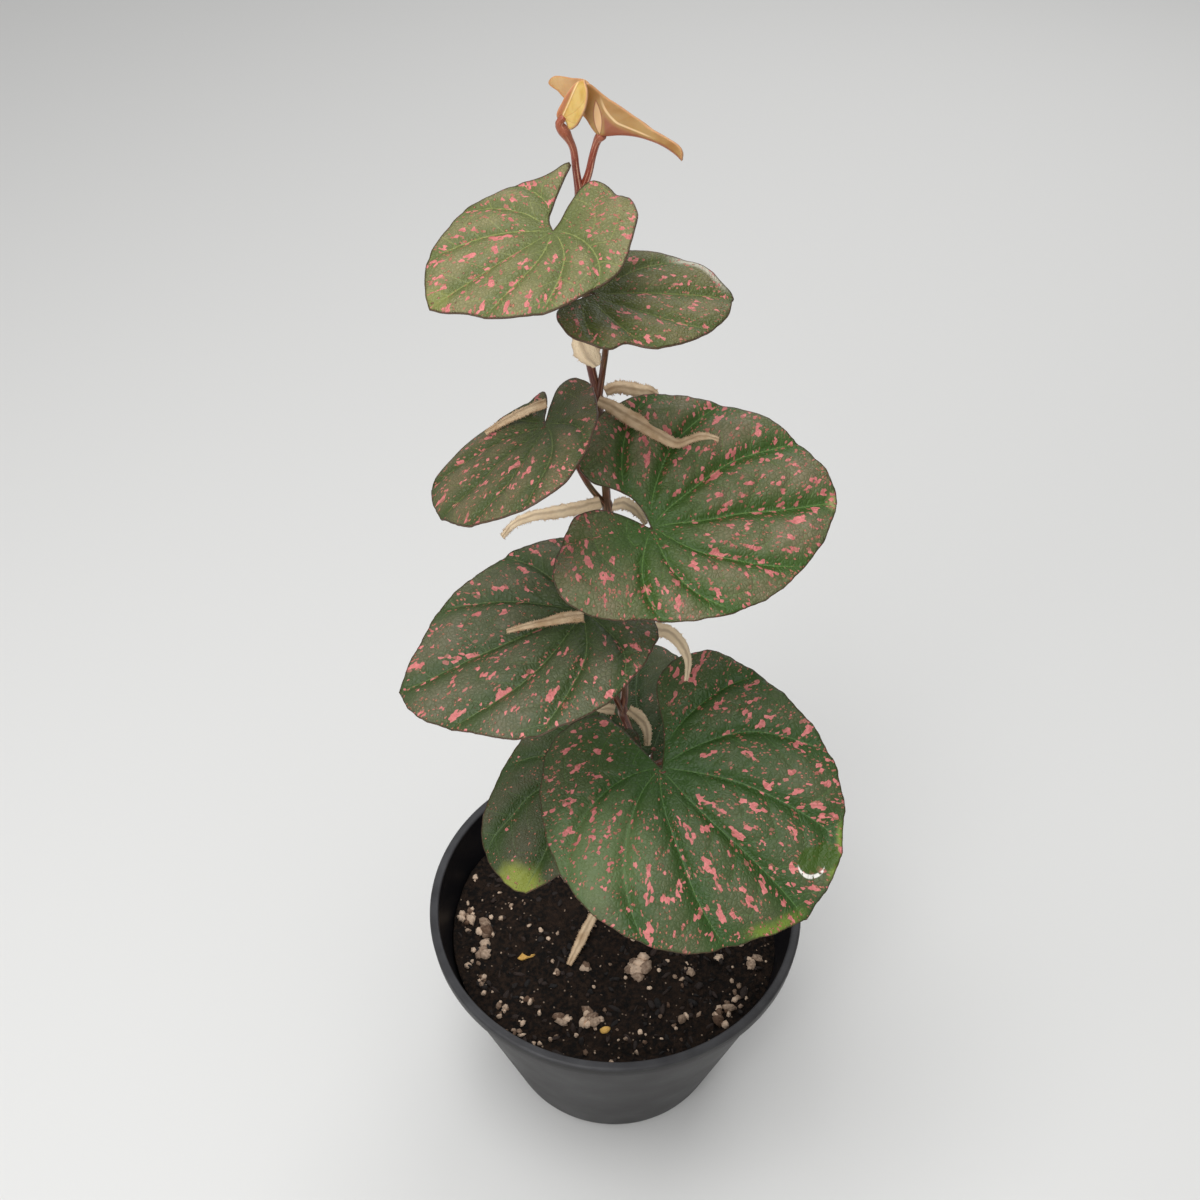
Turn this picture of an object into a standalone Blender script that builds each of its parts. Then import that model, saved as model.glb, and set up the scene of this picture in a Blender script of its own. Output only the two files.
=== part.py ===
"""A potted piper vine: an upright climbing shoot with heart-shaped leaves in a small nursery pot.

Metres, +Z up. The origin is the middle of the pot's underside, the shoot leans very slightly to -X and
the leaves face -Y, the side that the plant is seen from. Lengths in the tables below are millimetres.
"""

import math
import random

import bmesh
import bpy
from mathutils import Vector, geometry

MM = 0.001
CLEARANCE = 0.3

POT_RIM_RADIUS = 50.0
POT_HEIGHT = 67.0
POT_BASE_RADIUS = 31.0
POT_WALL = 1.0
POT_BAND_DEPTH = 4.0
POT_BAND_STEP = 1.4
POT_SIDES = 48
DRAIN_HOLES = 5
DRAIN_RADIUS = 3.0
DRAIN_CIRCLE = 21.0

SOIL_LEVEL = 52.5
SOIL_SPOKES = 48
SOIL_RINGS = 12
GRAINS = 60
GRAIN_CIRCLE = 42.0
STEM_HOLE_DEPTH = 19.0

STEM_RADIUS = 0.95
NODE_SWELLING = 0.35
PETIOLE_RADIUS = 0.68
SLIM_PETIOLE = 0.9 * PETIOLE_RADIUS
NODE_REACH = 2.4
STEM_STATIONS = 22
TUBE_RESOLUTION = 2
LEAF_THICKNESS = 0.8
LONG_LEAF = 30.0
YOUNG_LEAF = 20.0
LEAF_MESH_SPACING = 5.5
SHEATH_THICKNESS = 0.6

# The shoot, from its foot in the soil up to the fork under the two youngest leaves.
STEM_ROUTE = [
    (2.0, 0.0, 34.5),
    (2.0, 0.0, 52.0),
    (2.8, 0.2, 85.0),
    (3.2, 0.0, 115.0),
    (3.0, 0.0, 133.5),
    (1.3, 0.0, 141.6),
    (1.6, 0.4, 150.0),
    (0.6, 0.6, 175.0),
    (-2.5, 0.0, 203.2),
    (-3.2, 0.6, 215.0),
    (-4.5, 0.0, 229.8),
    (-6.3, 0.3, 241.0),
    (-6.6, 0.3, 256.0),
    (-7.5, 0.0, 273.0),
]
NODE_HEIGHTS = [72.0, 92.0, 112.0, 141.6, 172.0, 203.2, 229.8, 261.0]

# One heart-shaped blade each. The origin of a blade's own frame is where the petiole joins it, x runs
# along the midrib to the tip and y to the left. `left` and `right` are the margins from the tip back to
# the petiole. `fold` lifts the halves, `curl` bends their margins down, `lift` raises the back lobes and
# `droop` bends the tip down, in degrees for angles.
LEAVES = {
    "leaf_1": dict(
        petiole_from=261.0, via=[(-8.0, -2.0, 266.5), (-9.6, -8.0, 271.5)], at=(-11.7, -16.0, 274.2),
        azimuth=-150, pitch=15, roll=-7, length=24,
        fold=7, curl=(14, 14), lift=(3, 2), droop=8, tip=(24, 0),
        left=[(21.7, 4), (16.3, 11), (10, 15.3), (2.3, 16.5), (-3.6, 15.4), (-9.7, 10.4), (-12, 6.3),
              (-12.2, 0.3), (-11.3, -3.3), (-9, -4.5), (-5, -3.1), (-2.1, -1.2)],
        right=[(22.8, -3.1), (20.3, -7.3), (15.3, -11.3), (8.4, -14.2), (1.2, -13.4), (-5.2, -11.6),
               (-9.8, -10.2), (-6.7, -7.8), (-3, -4.8), (-0.8, -2.5)]),
    "leaf_2": dict(
        petiole_from=229.8, via=[(-3.6, -1.0, 237.0), (-3.0, -3.4, 245.0), (-3.6, -10.0, 255.5)],
        at=(-4.9, -17.0, 263.1),
        azimuth=7, pitch=1, roll=12, length=24,
        fold=8, curl=(18, 14), lift=(0, 0), droop=12, tip=(23.9, 0),
        left=[(23.2, 2.6), (19, 7.1), (12.9, 9), (6.6, 10.2), (0, 10.8), (-5, 9), (-7.5, 5.5),
              (-6.5, 2.5), (-3, 1)],
        right=[(21, -6.3), (14.9, -11.6), (8.2, -13.5), (3.6, -12.5), (0.6, -13.7), (-3.7, -11.6),
               (-6, -8.9), (-7, -5.5), (-5.8, -2.6), (-2.6, -1)]),
    "leaf_3": dict(
        petiole_from=203.2, via=[(-6.6, -0.5, 210.0), (-10.8, -3.0, 222.0), (-12.6, -10.5, 231.5)],
        at=(-14.0, -19.0, 237.9),
        azimuth=-144, pitch=20, roll=17, length=25,
        fold=6, curl=(16, 10), lift=(3, 1), droop=8, tip=(24.9, 0),
        left=[(22.8, 8.9), (16.8, 15.6), (8.6, 19), (1.7, 16.8), (-4.5, 12.2), (-7.7, 8.2), (-9.8, 3.6),
              (-11.4, -1), (-10.4, -5.5), (-7.5, -6.4), (-4.2, -4.6), (-1.6, -2)],
        right=[(24.4, -3), (23.4, -6.2), (20.2, -10.3), (12.7, -12), (5.7, -11.5), (-2.2, -9.6),
               (-5.2, -8.8), (-4.6, -6.6), (-2, -3.4)]),
    "leaf_4": dict(
        petiole_from=172.0, via=[(3.2, -0.5, 186.0), (5.8, -5.0, 198.0), (6.4, -13.0, 208.0)],
        at=(5.6, -21.0, 215.6),
        azimuth=9, pitch=-5, roll=28, length=36,
        fold=9, curl=(8, 20), lift=(2, 4), droop=10, tip=(36.5, 0),
        left=[(35.8, 5.5), (31.9, 11.7), (26.7, 17.7), (18.3, 22.1), (9.2, 25.5), (1, 26.5), (-7, 22.5),
              (-11.4, 15.3), (-9.8, 10.8), (-6.6, 9.2), (-4.1, 8.1), (-2.3, 6.2), (-0.8, 3.3)],
        right=[(34.5, -3.4), (29.7, -9.7), (20.8, -16.6), (12.1, -19.5), (4, -19.9), (-3.7, -18.5),
               (-11.3, -17.1), (-16.5, -14.8), (-19.6, -10.6), (-19.6, -6.1), (-17.7, -1.1), (-14.3, 4),
               (-10, 5.3), (-6.8, 4.4), (-3.7, 2.7)]),
    "leaf_5": dict(
        petiole_from=141.6, via=[(-1.4, -1.6, 151.0), (-4.8, -8.0, 170.0), (-6.9, -15.5, 185.0)],
        at=(-7.6, -22.0, 194.9),
        azimuth=-163, pitch=12, roll=-7, length=39,
        fold=7, curl=(14, 10), lift=(0, 0), droop=10, tip=(39.4, 0),
        left=[(37.8, 7), (31.3, 14.3), (22.8, 21), (15, 23.7), (5, 23.5), (-3.3, 19.9), (-9.8, 14.7),
              (-12, 11), (-12.2, 6.5), (-9, 3.5), (-4, 1.8)],
        right=[(34.4, -6.2), (26.9, -13.2), (17.6, -17.8), (6, -20.3), (-1.5, -19.5), (-8.5, -16),
               (-11.8, -11), (-11.5, -6), (-8, -3), (-3.5, -1.3)]),
    "leaf_6": dict(
        petiole_from=112.0, via=[(6.0, -2.0, 122.0), (9.5, -9.0, 134.0), (10.4, -19.0, 146.0)],
        at=(9.0, -27.0, 153.5),
        azimuth=-47, pitch=11, roll=24, length=45,
        fold=8, curl=(12, 10), lift=(0, 0), droop=32, tip=(44.7, 0),
        left=[(41.7, 8.4), (35.3, 19.2), (28.7, 25.2), (20.6, 28.5), (11.6, 30), (0.6, 29.4),
              (-9.8, 26.8), (-13.6, 22.7), (-15.5, 17.7), (-14.2, 12.6), (-10.8, 9.7), (-5.1, 5.8)],
        right=[(42, -5.8), (37.4, -14.5), (32.2, -22.2), (25.3, -27.8), (16.4, -31.3), (7.8, -32.2),
               (-2.3, -29.9), (-14, -22.9), (-21.2, -12.9), (-19.7, -2.8), (-14, 0), (-6.3, 0.1)]),
    "leaf_7": dict(
        petiole_from=92.0, via=[(1.2, -0.6, 104.0), (-1.8, -3.4, 120.0), (-4.2, -7.0, 130.0)],
        at=(-6.0, -10.0, 136.2),
        azimuth=-122, pitch=25, roll=-2, length=34,
        fold=8, curl=(8, 8), lift=(0, 0), droop=16, tip=(33.9, 0),
        left=[(29.9, 3.5), (27, 5.8), (21, 11), (12.5, 14.2), (4, 14), (-4, 11.5), (-9, 8), (-10.5, 4.5),
              (-7.5, 2), (-3.5, 1)],
        right=[(34.3, -4), (31.1, -11.8), (25, -16.1), (13.3, -18), (2.6, -17.3), (-6, -14.5),
               (-11, -9.5), (-11.5, -5), (-7.5, -2), (-3, -1)]),
    "leaf_8": dict(
        petiole_from=72.0, via=[(3.9, 0.8, 84.0), (6.4, 3.6, 102.0)], at=(8.9, 8.0, 118.1),
        azimuth=70, pitch=-32, roll=0, length=32,
        fold=6, curl=(10, 8), lift=(0, 0), droop=40, tip=(29.4, 3.5),
        left=[(30.8, 8), (28, 12.5), (20, 16.5), (9, 18), (-2, 16.5), (-9, 12), (-11.5, 7.5), (-8.5, 3.5),
              (-3.5, 1.6)],
        right=[(27, -2), (22, -8.5), (14, -13.5), (4, -15), (-5, -13), (-11, -8.5), (-12, -4.5),
               (-8, -2.2), (-3.5, -1)]),
    "young_leaf_left": dict(
        petiole_from=None, at=(-10.1, -2.0, 286.4), azimuth=0, pitch=-66, roll=62, length=8.5,
        fold=25, curl=(-30, -30), lift=(0, 0), droop=0, tip=(7.3, -0.6),
        left=[(6.6, 0.2), (5.6, 0.7), (3.8, 1.1), (2, 1.3), (0.2, 1.3), (-0.6, 0.7)],
        right=[(6.8, -1.5), (6.2, -2.4), (4.8, -3.2), (3.4, -3.5), (1.4, -3.4), (0.2, -2.9), (-0.7, -2)]),
    "young_leaf_right": dict(
        petiole_from=None, at=(-4.1, -1.0, 283.3), azimuth=-6, pitch=-16, roll=-30, length=15.2,
        fold=70, curl=(-6, -6), lift=(0, 0), droop=54, tip=(15.2, 0),
        left=[(14.4, 1.3), (12.8, 1.8), (11.2, 1.8), (8.4, 2.2), (5.6, 3.4), (2.8, 5.2), (0.4, 7.9),
              (-1.6, 10.6), (-4, 11.6), (-6.8, 12.6), (-8, 11.8), (-6.6, 10.2), (-5.8, 9), (-4.6, 7.6),
              (-3.2, 5.5), (-1.6, 3.2)],
        right=[(14.4, -1.3), (13.4, -1.8), (11.2, -1.8), (8.4, -2.3), (6, -3.5), (3.6, -5), (1.6, -6.8),
               (0, -9.2), (-1.2, -7.3), (-1.6, -4.6), (-1.3, -3.1), (-0.7, -1.3)]),
}

# The petioles of the two youngest leaves rise from the fork.
YOUNG_PETIOLES = {
    "young_leaf_left": [(-7.5, 0.0, 272.0), (-8.1, -0.4, 276.5), (-8.5, -0.8, 280.5), (-9.6, -1.2, 283.2),
                        (-10.7, -1.5, 285.2)],
    "young_leaf_right": [(-7.5, 0.0, 272.0), (-6.1, 0.0, 275.6), (-5.3, -0.2, 279.2), (-4.5, -0.5, 282.0)],
}

# Dry papery sheaths: x, y, z and width at each point from the root to the tip, and the way the face turns.
SHEATHS = {
    "sheath_1": dict(face=(-0.2, -0.8, 0.5), crease=0.5, route=[
        (-7.2, -2.2, 246.3, 3.6), (-7.0, -2.6, 243.7, 4.4), (-5.9, -2.9, 241.6, 4.2),
        (-4.7, -2.8, 239.3, 1.4)]),
    "sheath_2": dict(face=(0, -0.6, 0.8), crease=0.4, route=[
        (-3.2, 1.2, 231.0, 2.0), (-0.6, 3.0, 230.7, 2.2), (2.5, 5.0, 228.8, 2.6), (5.7, 7.0, 226.8, 2.2),
        (7.4, 8.0, 225.4, 0.9)]),
    "sheath_3": dict(face=(0, -0.5, 0.9), crease=0.5, route=[
        (-4.4, -2.5, 231.4, 1.8), (-1.8, -3.0, 230.3, 2.6), (0.7, -3.9, 229.1, 2.9), (3.5, -5.4, 228.1, 2.7),
        (7.3, -7.3, 226.7, 2.4), (10.3, -8.4, 225.8, 1.9), (13.0, -7.6, 226.1, 1.4), (15.3, -6.9, 226.3, 1.6),
        (18.4, -7.2, 225.8, 0.9)]),
    "sheath_4": dict(face=(-0.2, -0.2, 0.9), crease=0.4, route=[
        (-13.6, -14.6, 239.4, 2.0), (-16.5, -14.6, 238.1, 2.3), (-19.3, -15.0, 236.9, 2.0),
        (-22.0, -15.7, 235.6, 1.5), (-24.7, -17.0, 234.4, 0.8)]),
    "sheath_5": dict(face=(0, -0.6, 0.8), crease=0.5, route=[
        (-4.0, -1.9, 206.2, 2.4), (-8.1, -3.2, 205.9, 2.7), (-12.9, -4.5, 205.8, 2.5),
        (-18.1, -5.0, 205.0, 2.0),
        (-21.6, -5.5, 203.3, 1.4), (-23.9, -5.5, 200.1, 0.8)]),
    "sheath_6": dict(face=(-0.2, -0.6, 0.8), crease=0.4, route=[
        (-1.4, -1.5, 205.2, 2.0), (0.8, -5.0, 208.4, 2.4), (3.1, -8.6, 209.6, 1.8),
        (4.9, -12.5, 209.4, 0.8)]),
    "sheath_7": dict(face=(-0.1, -0.3, 0.9), crease=0.4, route=[
        (-7.2, -24.2, 195.9, 2.4), (-10.6, -24.1, 195.3, 2.4), (-14.5, -24.5, 194.6, 1.8),
        (-18.4, -24.8, 193.7, 1.3), (-22.4, -25.2, 192.7, 0.8)]),
    "sheath_8": dict(face=(0.3, -0.6, 0.7), crease=0.5, route=[
        (2.2, -1.2, 171.5, 2.2), (7.8, -4.5, 173.1, 2.9), (10.5, -6.0, 173.7, 2.9), (13.1, -8.0, 172.3, 2.7),
        (14.6, -10.0, 170.1, 1.9), (14.8, -11.5, 168.3, 1.4), (14.4, -13.0, 165.8, 0.8)]),
    "sheath_9": dict(face=(0.1, -0.8, 0.6), crease=0.4, route=[
        (2.5, -1.3, 143.9, 2.0), (4.7, -2.8, 143.4, 2.6), (6.5, -4.5, 141.6, 2.2), (7.0, -5.3, 139.1, 1.7),
        (6.9, -6.2, 136.9, 1.2)]),
    "sheath_10": dict(face=(-0.1, -0.8, 0.6), crease=0.3, route=[
        (-0.7, -2.6, 145.2, 2.2), (-2.5, -2.9, 145.9, 2.2), (-4.8, -3.4, 146.2, 0.8)]),
    "sheath_11": dict(face=(0, -0.1, 1), crease=0.3, route=[
        (-5.8, 2.8, 55.2, 1.6), (-8.3, -2.6, 54.9, 1.8), (-10.4, -7.8, 54.9, 1.6),
        (-12.5, -12.8, 54.7, 0.9)]),
}


def new_material(name, colour, roughness, metallic=0.0):
    material = bpy.data.materials.new(name)
    material.use_nodes = True
    shader = material.node_tree.nodes["Principled BSDF"]
    shader.inputs["Base Color"].default_value = (*colour, 1.0)
    shader.inputs["Roughness"].default_value = roughness
    shader.inputs["Metallic"].default_value = metallic
    return material


def add_mesh_object(name, mesh, collection, material=None):
    obj = bpy.data.objects.new(name, mesh)
    collection.objects.link(obj)
    if material:
        mesh.materials.append(material)
    return obj


def applied(obj):
    """The object's evaluated mesh, as a new mesh."""
    graph = bpy.context.evaluated_depsgraph_get()
    return bpy.data.meshes.new_from_object(obj.evaluated_get(graph))


def spline(points, steps):
    """Points read from a Catmull-Rom curve through `points`, `steps` to each stretch."""
    padded = [2 * points[0] - points[1], *points, 2 * points[-1] - points[-2]]
    found = []
    for a, b, c, d in zip(padded, padded[1:], padded[2:], padded[3:]):
        for step in range(steps):
            t = step / steps
            found.append(0.5 * ((2 * b) + (c - a) * t + (2 * a - 5 * b + 4 * c - d) * t**2
                                + (3 * b - a - 3 * c + d) * t**3))
    found.append(points[-1])
    return found


def even_spacing(points, count):
    """`count` + 1 points at equal distances along the polyline `points`."""
    lengths = [0.0]
    for a, b in zip(points, points[1:]):
        lengths.append(lengths[-1] + (b - a).length)
    found = []
    part = 0
    for index in range(count + 1):
        target = lengths[-1] * index / count
        while part < len(points) - 2 and lengths[part + 1] < target:
            part += 1
        span = lengths[part + 1] - lengths[part]
        t = (target - lengths[part]) / span if span else 0.0
        found.append(points[part].lerp(points[part + 1], min(max(t, 0.0), 1.0)))
    return found


def leaf_frame(leaf):
    """The midrib, left and upward directions of a blade."""
    azimuth, pitch, roll = (math.radians(leaf[key]) for key in ("azimuth", "pitch", "roll"))
    level = math.cos(pitch)
    midrib = Vector((math.cos(azimuth) * level, math.sin(azimuth) * level, -math.sin(pitch)))
    level_left = Vector((-math.sin(azimuth), math.cos(azimuth), 0.0))
    level_up = midrib.cross(level_left)
    left = level_left * math.cos(roll) + level_up * math.sin(roll)
    up = level_up * math.cos(roll) - level_left * math.sin(roll)
    return midrib, left, up


def leaf_point(leaf, x, y):
    """Where the point (x, y) of the flat blade lies once the blade is bent, in millimetres."""
    length = leaf["length"]
    fold = math.radians(leaf["fold"])
    side = 0 if y > 0 else 1
    out = abs(y)
    turn = math.radians(leaf["curl"][side]) * out / length
    across = out * math.sin(turn) / turn if abs(turn) > 1e-6 else out
    sag = out * (1 - math.cos(turn)) / turn if abs(turn) > 1e-6 else 0.0
    soft = 0.05 * length
    rise = (math.hypot(out, soft) - soft) * math.sin(fold) - sag * math.cos(fold)
    back = max(-x, 0.0) / (0.6 * length)
    rise += leaf["lift"][side] * back**2 * min(out / (0.2 * length), 1.0)
    along = x
    droop = math.radians(leaf["droop"]) / length
    if droop and x > 0:
        radius = 1 / droop
        along = (radius + rise) * math.sin(droop * x)
        rise = (radius + rise) * math.cos(droop * x) - radius
    midrib, left, up = leaf_frame(leaf)
    return Vector(leaf["at"]) + midrib * along + left * math.copysign(across * math.cos(fold), y) + up * rise


def leaf_outline(leaf, count):
    """The blade's flat outline, counter-clockwise from the tip, with `count` stretches a side."""
    tip = Vector(leaf["tip"])
    root = Vector((0.0, 0.0))
    sides = []
    for side in ("left", "right"):
        curve = spline([tip, *map(Vector, leaf[side]), root], 8)
        sides.append(even_spacing(curve, count))
    return sides[0] + sides[1][-2:0:-1]


def inside(point, outline):
    """True where the point is in the outline, by counting crossings."""
    crossings = 0
    for a, b in zip(outline, outline[1:] + outline[:1]):
        if (a.y > point.y) != (b.y > point.y):
            crossings += point.x < a.x + (point.y - a.y) / (b.y - a.y) * (b.x - a.x)
    return crossings % 2 == 1


def leaf_triangles(leaf, spacing, count):
    """The flat blade's points and triangles, on rows that keep one row on the midrib."""
    outline = leaf_outline(leaf, count)
    points = list(outline)
    row_step = spacing * math.sqrt(3) / 2
    reach = int(2.2 * leaf["length"] / spacing)
    for row in range(-reach, reach + 1):
        for column in range(-reach, reach + 1):
            point = Vector(((column + 0.5 * (row % 2)) * spacing, row * row_step))
            if inside(point, outline) and min((point - edge).length for edge in outline) > 0.55 * spacing:
                points.append(point)
    edges = [(index, (index + 1) % len(outline)) for index in range(len(outline))]
    flat, _, faces, _, _, _ = geometry.delaunay_2d_cdt(points, edges, [], 1, 1e-6)
    return flat, faces


def build_leaf(name, leaf, collection, material):
    big = leaf["length"] > YOUNG_LEAF
    spacing = min(0.14 * leaf["length"], LEAF_MESH_SPACING)
    flat, faces = leaf_triangles(leaf, spacing, 20 if big else 14)
    mesh = bpy.data.meshes.new(name)
    mesh.from_pydata([leaf_point(leaf, point.x, point.y) * MM for point in flat], [], faces)
    obj = add_mesh_object(name, mesh, collection, material)
    thickness = obj.modifiers.new("thickness", "SOLIDIFY")
    thickness.thickness = LEAF_THICKNESS * MM
    thickness.offset = -1
    mesh.shade_smooth()
    return obj


def tube(points, radii):
    """A closed tube through the points, as a mesh object that is not yet in a collection."""
    curve = bpy.data.curves.new("tube", "CURVE")
    curve.dimensions = "3D"
    curve.bevel_depth = MM
    curve.bevel_resolution = TUBE_RESOLUTION
    curve.use_fill_caps = True
    line = curve.splines.new("POLY")
    line.points.add(len(points) - 1)
    for item, point, radius in zip(line.points, points, radii):
        item.co = (*(point * MM), 1.0)
        item.radius = radius
    holder = bpy.data.objects.new("tube", curve)
    bpy.context.scene.collection.objects.link(holder)
    bpy.context.view_layer.update()
    mesh = applied(holder)
    bpy.data.objects.remove(holder)
    body = bmesh.new()
    body.from_mesh(mesh)
    bmesh.ops.remove_doubles(body, verts=body.verts, dist=1e-6)
    bmesh.ops.recalc_face_normals(body, faces=body.faces)
    body.to_mesh(mesh)
    body.free()
    return bpy.data.objects.new("tube", mesh)


def stem_at(height):
    """The point of the stem's axis at this height."""
    line = spline([Vector(point) for point in STEM_ROUTE], 12)
    for a, b in zip(line, line[1:]):
        if a.z <= height <= b.z:
            return a.lerp(b, (height - a.z) / (b.z - a.z))
    raise ValueError("the stem has no point at this height")


def stem_tube():
    low = STEM_ROUTE[0][2]
    top = STEM_ROUTE[-1][2]
    heights = {low + (top - low) * step / STEM_STATIONS for step in range(STEM_STATIONS + 1)}
    for node in NODE_HEIGHTS:
        heights = {height for height in heights if abs(height - node) > 2 * NODE_REACH}
        heights |= {node - NODE_REACH, node, node + NODE_REACH}
    heights = sorted(heights)
    points = [stem_at(height) for height in heights]
    radii = []
    for height in heights:
        swelling = sum(math.exp(-((height - node) / 1.6) ** 2) for node in NODE_HEIGHTS)
        radii.append(STEM_RADIUS * (1.0 - 0.12 * (height - low) / (top - low)) + NODE_SWELLING * swelling)
    return tube(points, radii)


def petiole_end(leaf):
    """Just under the blade, where its petiole stops."""
    _, _, up = leaf_frame(leaf)
    return leaf_point(leaf, 0.5, 0.0) - up * (LEAF_THICKNESS + CLEARANCE + PETIOLE_RADIUS)


def petiole_route(leaf):
    """A petiole follows the stem a little way, then arches out to the blade from below."""
    points = [stem_at(leaf["petiole_from"]), *map(Vector, leaf["via"]), petiole_end(leaf)]
    return spline(points, 4)


def build_stem(collection, material):
    """The shoot and every petiole, joined into one body."""
    pieces = [stem_tube()]
    for name, leaf in LEAVES.items():
        if name in YOUNG_PETIOLES:
            points = spline([Vector(point) for point in YOUNG_PETIOLES[name]], 3)
        else:
            points = petiole_route(leaf)
        slim = PETIOLE_RADIUS if leaf["length"] > LONG_LEAF else SLIM_PETIOLE
        pieces.append(tube(points, [slim] * len(points)))
    repeats = bpy.data.collections.new("petioles")
    bpy.context.scene.collection.children.link(repeats)
    stem = pieces[0]
    stem.name = "stem"
    collection.objects.link(stem)
    for piece in pieces[1:]:
        repeats.objects.link(piece)
    joined = stem.modifiers.new("petioles", "BOOLEAN")
    joined.operation = "UNION"
    joined.operand_type = "COLLECTION"
    joined.collection = repeats
    joined.solver = "EXACT"
    bpy.context.view_layer.update()
    mesh = applied(stem)
    stem.modifiers.clear()
    stem.data = mesh
    mesh.materials.clear()
    mesh.materials.append(material)
    mesh.shade_smooth()
    for piece in pieces[1:]:
        bpy.data.objects.remove(piece)
    bpy.data.collections.remove(repeats)
    return stem


def build_sheath(name, sheath, collection, material):
    """A ribbon with a crease along its middle."""
    facing = Vector(sheath["face"]).normalized()
    points = [Vector(item[:3]) for item in sheath["route"]]
    stations = 2 * (len(points) - 1)
    line = spline(points, 2)
    widths = spline([Vector((item[3], 0.0)) for item in sheath["route"]], 2)
    vertices = []
    for index, point in enumerate(line):
        ahead = line[min(index + 1, stations)] - line[max(index - 1, 0)]
        across = ahead.cross(facing).normalized() * widths[index].x / 2
        vertices += [point - across, point + facing * sheath["crease"] * widths[index].x / 4, point + across]
    faces = []
    for index in range(stations):
        for strip in (0, 1):
            corner = 3 * index + strip
            faces += [(corner, corner + 1, corner + 3), (corner + 1, corner + 4, corner + 3)]
    mesh = bpy.data.meshes.new(name)
    mesh.from_pydata([vertex * MM for vertex in vertices], [], faces)
    obj = add_mesh_object(name, mesh, collection, material)
    thickness = obj.modifiers.new("thickness", "SOLIDIFY")
    thickness.thickness = SHEATH_THICKNESS * MM
    thickness.offset = 0
    mesh.shade_smooth()
    return obj


def pot_outer_radius(height):
    """The tapered wall's outer radius under the rim band."""
    top = POT_RIM_RADIUS - POT_BAND_STEP
    return POT_BASE_RADIUS + (top - POT_BASE_RADIUS) * height / (POT_HEIGHT - POT_BAND_DEPTH)


def build_pot(collection, cutters, material):
    rim = POT_RIM_RADIUS
    band_bottom = POT_HEIGHT - POT_BAND_DEPTH
    profile = [
        (rim - 2.4, POT_HEIGHT - 0.3),
        (rim - 2.0, POT_HEIGHT),
        (rim - 0.5, POT_HEIGHT),
        (rim, POT_HEIGHT - 0.6),
        (rim - 0.4, band_bottom),
        (pot_outer_radius(band_bottom), band_bottom - 0.4),
        (pot_outer_radius(1.2), 1.2),
        (POT_BASE_RADIUS - 1.0, 0.0),
        (0.0, 0.0),
        (0.0, POT_WALL),
        (POT_BASE_RADIUS - POT_WALL - 0.6, POT_WALL),
        (pot_outer_radius(2.4) - POT_WALL, 2.4),
        (pot_outer_radius(band_bottom) - POT_WALL, band_bottom),
    ]
    mesh = bpy.data.meshes.new("pot")
    closed = profile + profile[:1]
    mesh.from_pydata([(radius * MM, 0.0, height * MM) for radius, height in closed],
                     [(index, index + 1) for index in range(len(closed) - 1)], [])
    pot = add_mesh_object("pot", mesh, collection, material)
    turned = pot.modifiers.new("turned", "SCREW")
    turned.steps = POT_SIDES
    turned.render_steps = POT_SIDES
    turned.use_merge_vertices = True
    turned.merge_threshold = 0.00001
    turned.use_normal_calculate = True
    for index in range(DRAIN_HOLES):
        angle = math.tau * (index + 0.5) / DRAIN_HOLES
        mesh = bpy.data.meshes.new("drain")
        body = bmesh.new()
        bmesh.ops.create_cone(body, cap_ends=True, segments=16, radius1=DRAIN_RADIUS * MM,
                              radius2=DRAIN_RADIUS * MM, depth=4 * POT_WALL * MM)
        body.to_mesh(mesh)
        body.free()
        cutter = add_mesh_object(f"drain_{index}", mesh, cutters)
        cutter.location = (DRAIN_CIRCLE * MM * math.cos(angle), DRAIN_CIRCLE * MM * math.sin(angle), 0.0)
        cutter.hide_render = True
        cutter.display_type = "WIRE"
        hole = pot.modifiers.new(cutter.name, "BOOLEAN")
        hole.operation = "DIFFERENCE"
        hole.object = cutter
        hole.solver = "EXACT"
    return pot


def soil_grains():
    """Lumps and pale grains on the soil: place, radius and height, drawn from a fixed seed."""
    draw = random.Random(7)
    grains = []
    for _ in range(GRAINS):
        angle = draw.uniform(0, math.tau)
        distance = GRAIN_CIRCLE * math.sqrt(draw.random())
        size = draw.uniform(1.6, 3.4)
        grains.append((distance * math.cos(angle), distance * math.sin(angle), size, 0.55 * size))
    return grains


def soil_height(x, y, grains):
    """The soil's surface: a slight bank to the left and the front, hollows and grains."""
    height = SOIL_LEVEL - 0.03 * x - 0.02 * y
    height += 0.7 * math.sin(0.23 * x + 1.1) * math.cos(0.19 * y - 0.6)
    for grain_x, grain_y, size, rise in grains:
        near = ((x - grain_x) ** 2 + (y - grain_y) ** 2) / size**2
        if near < 1:
            height += rise * (1 - near)
    return height


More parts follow.
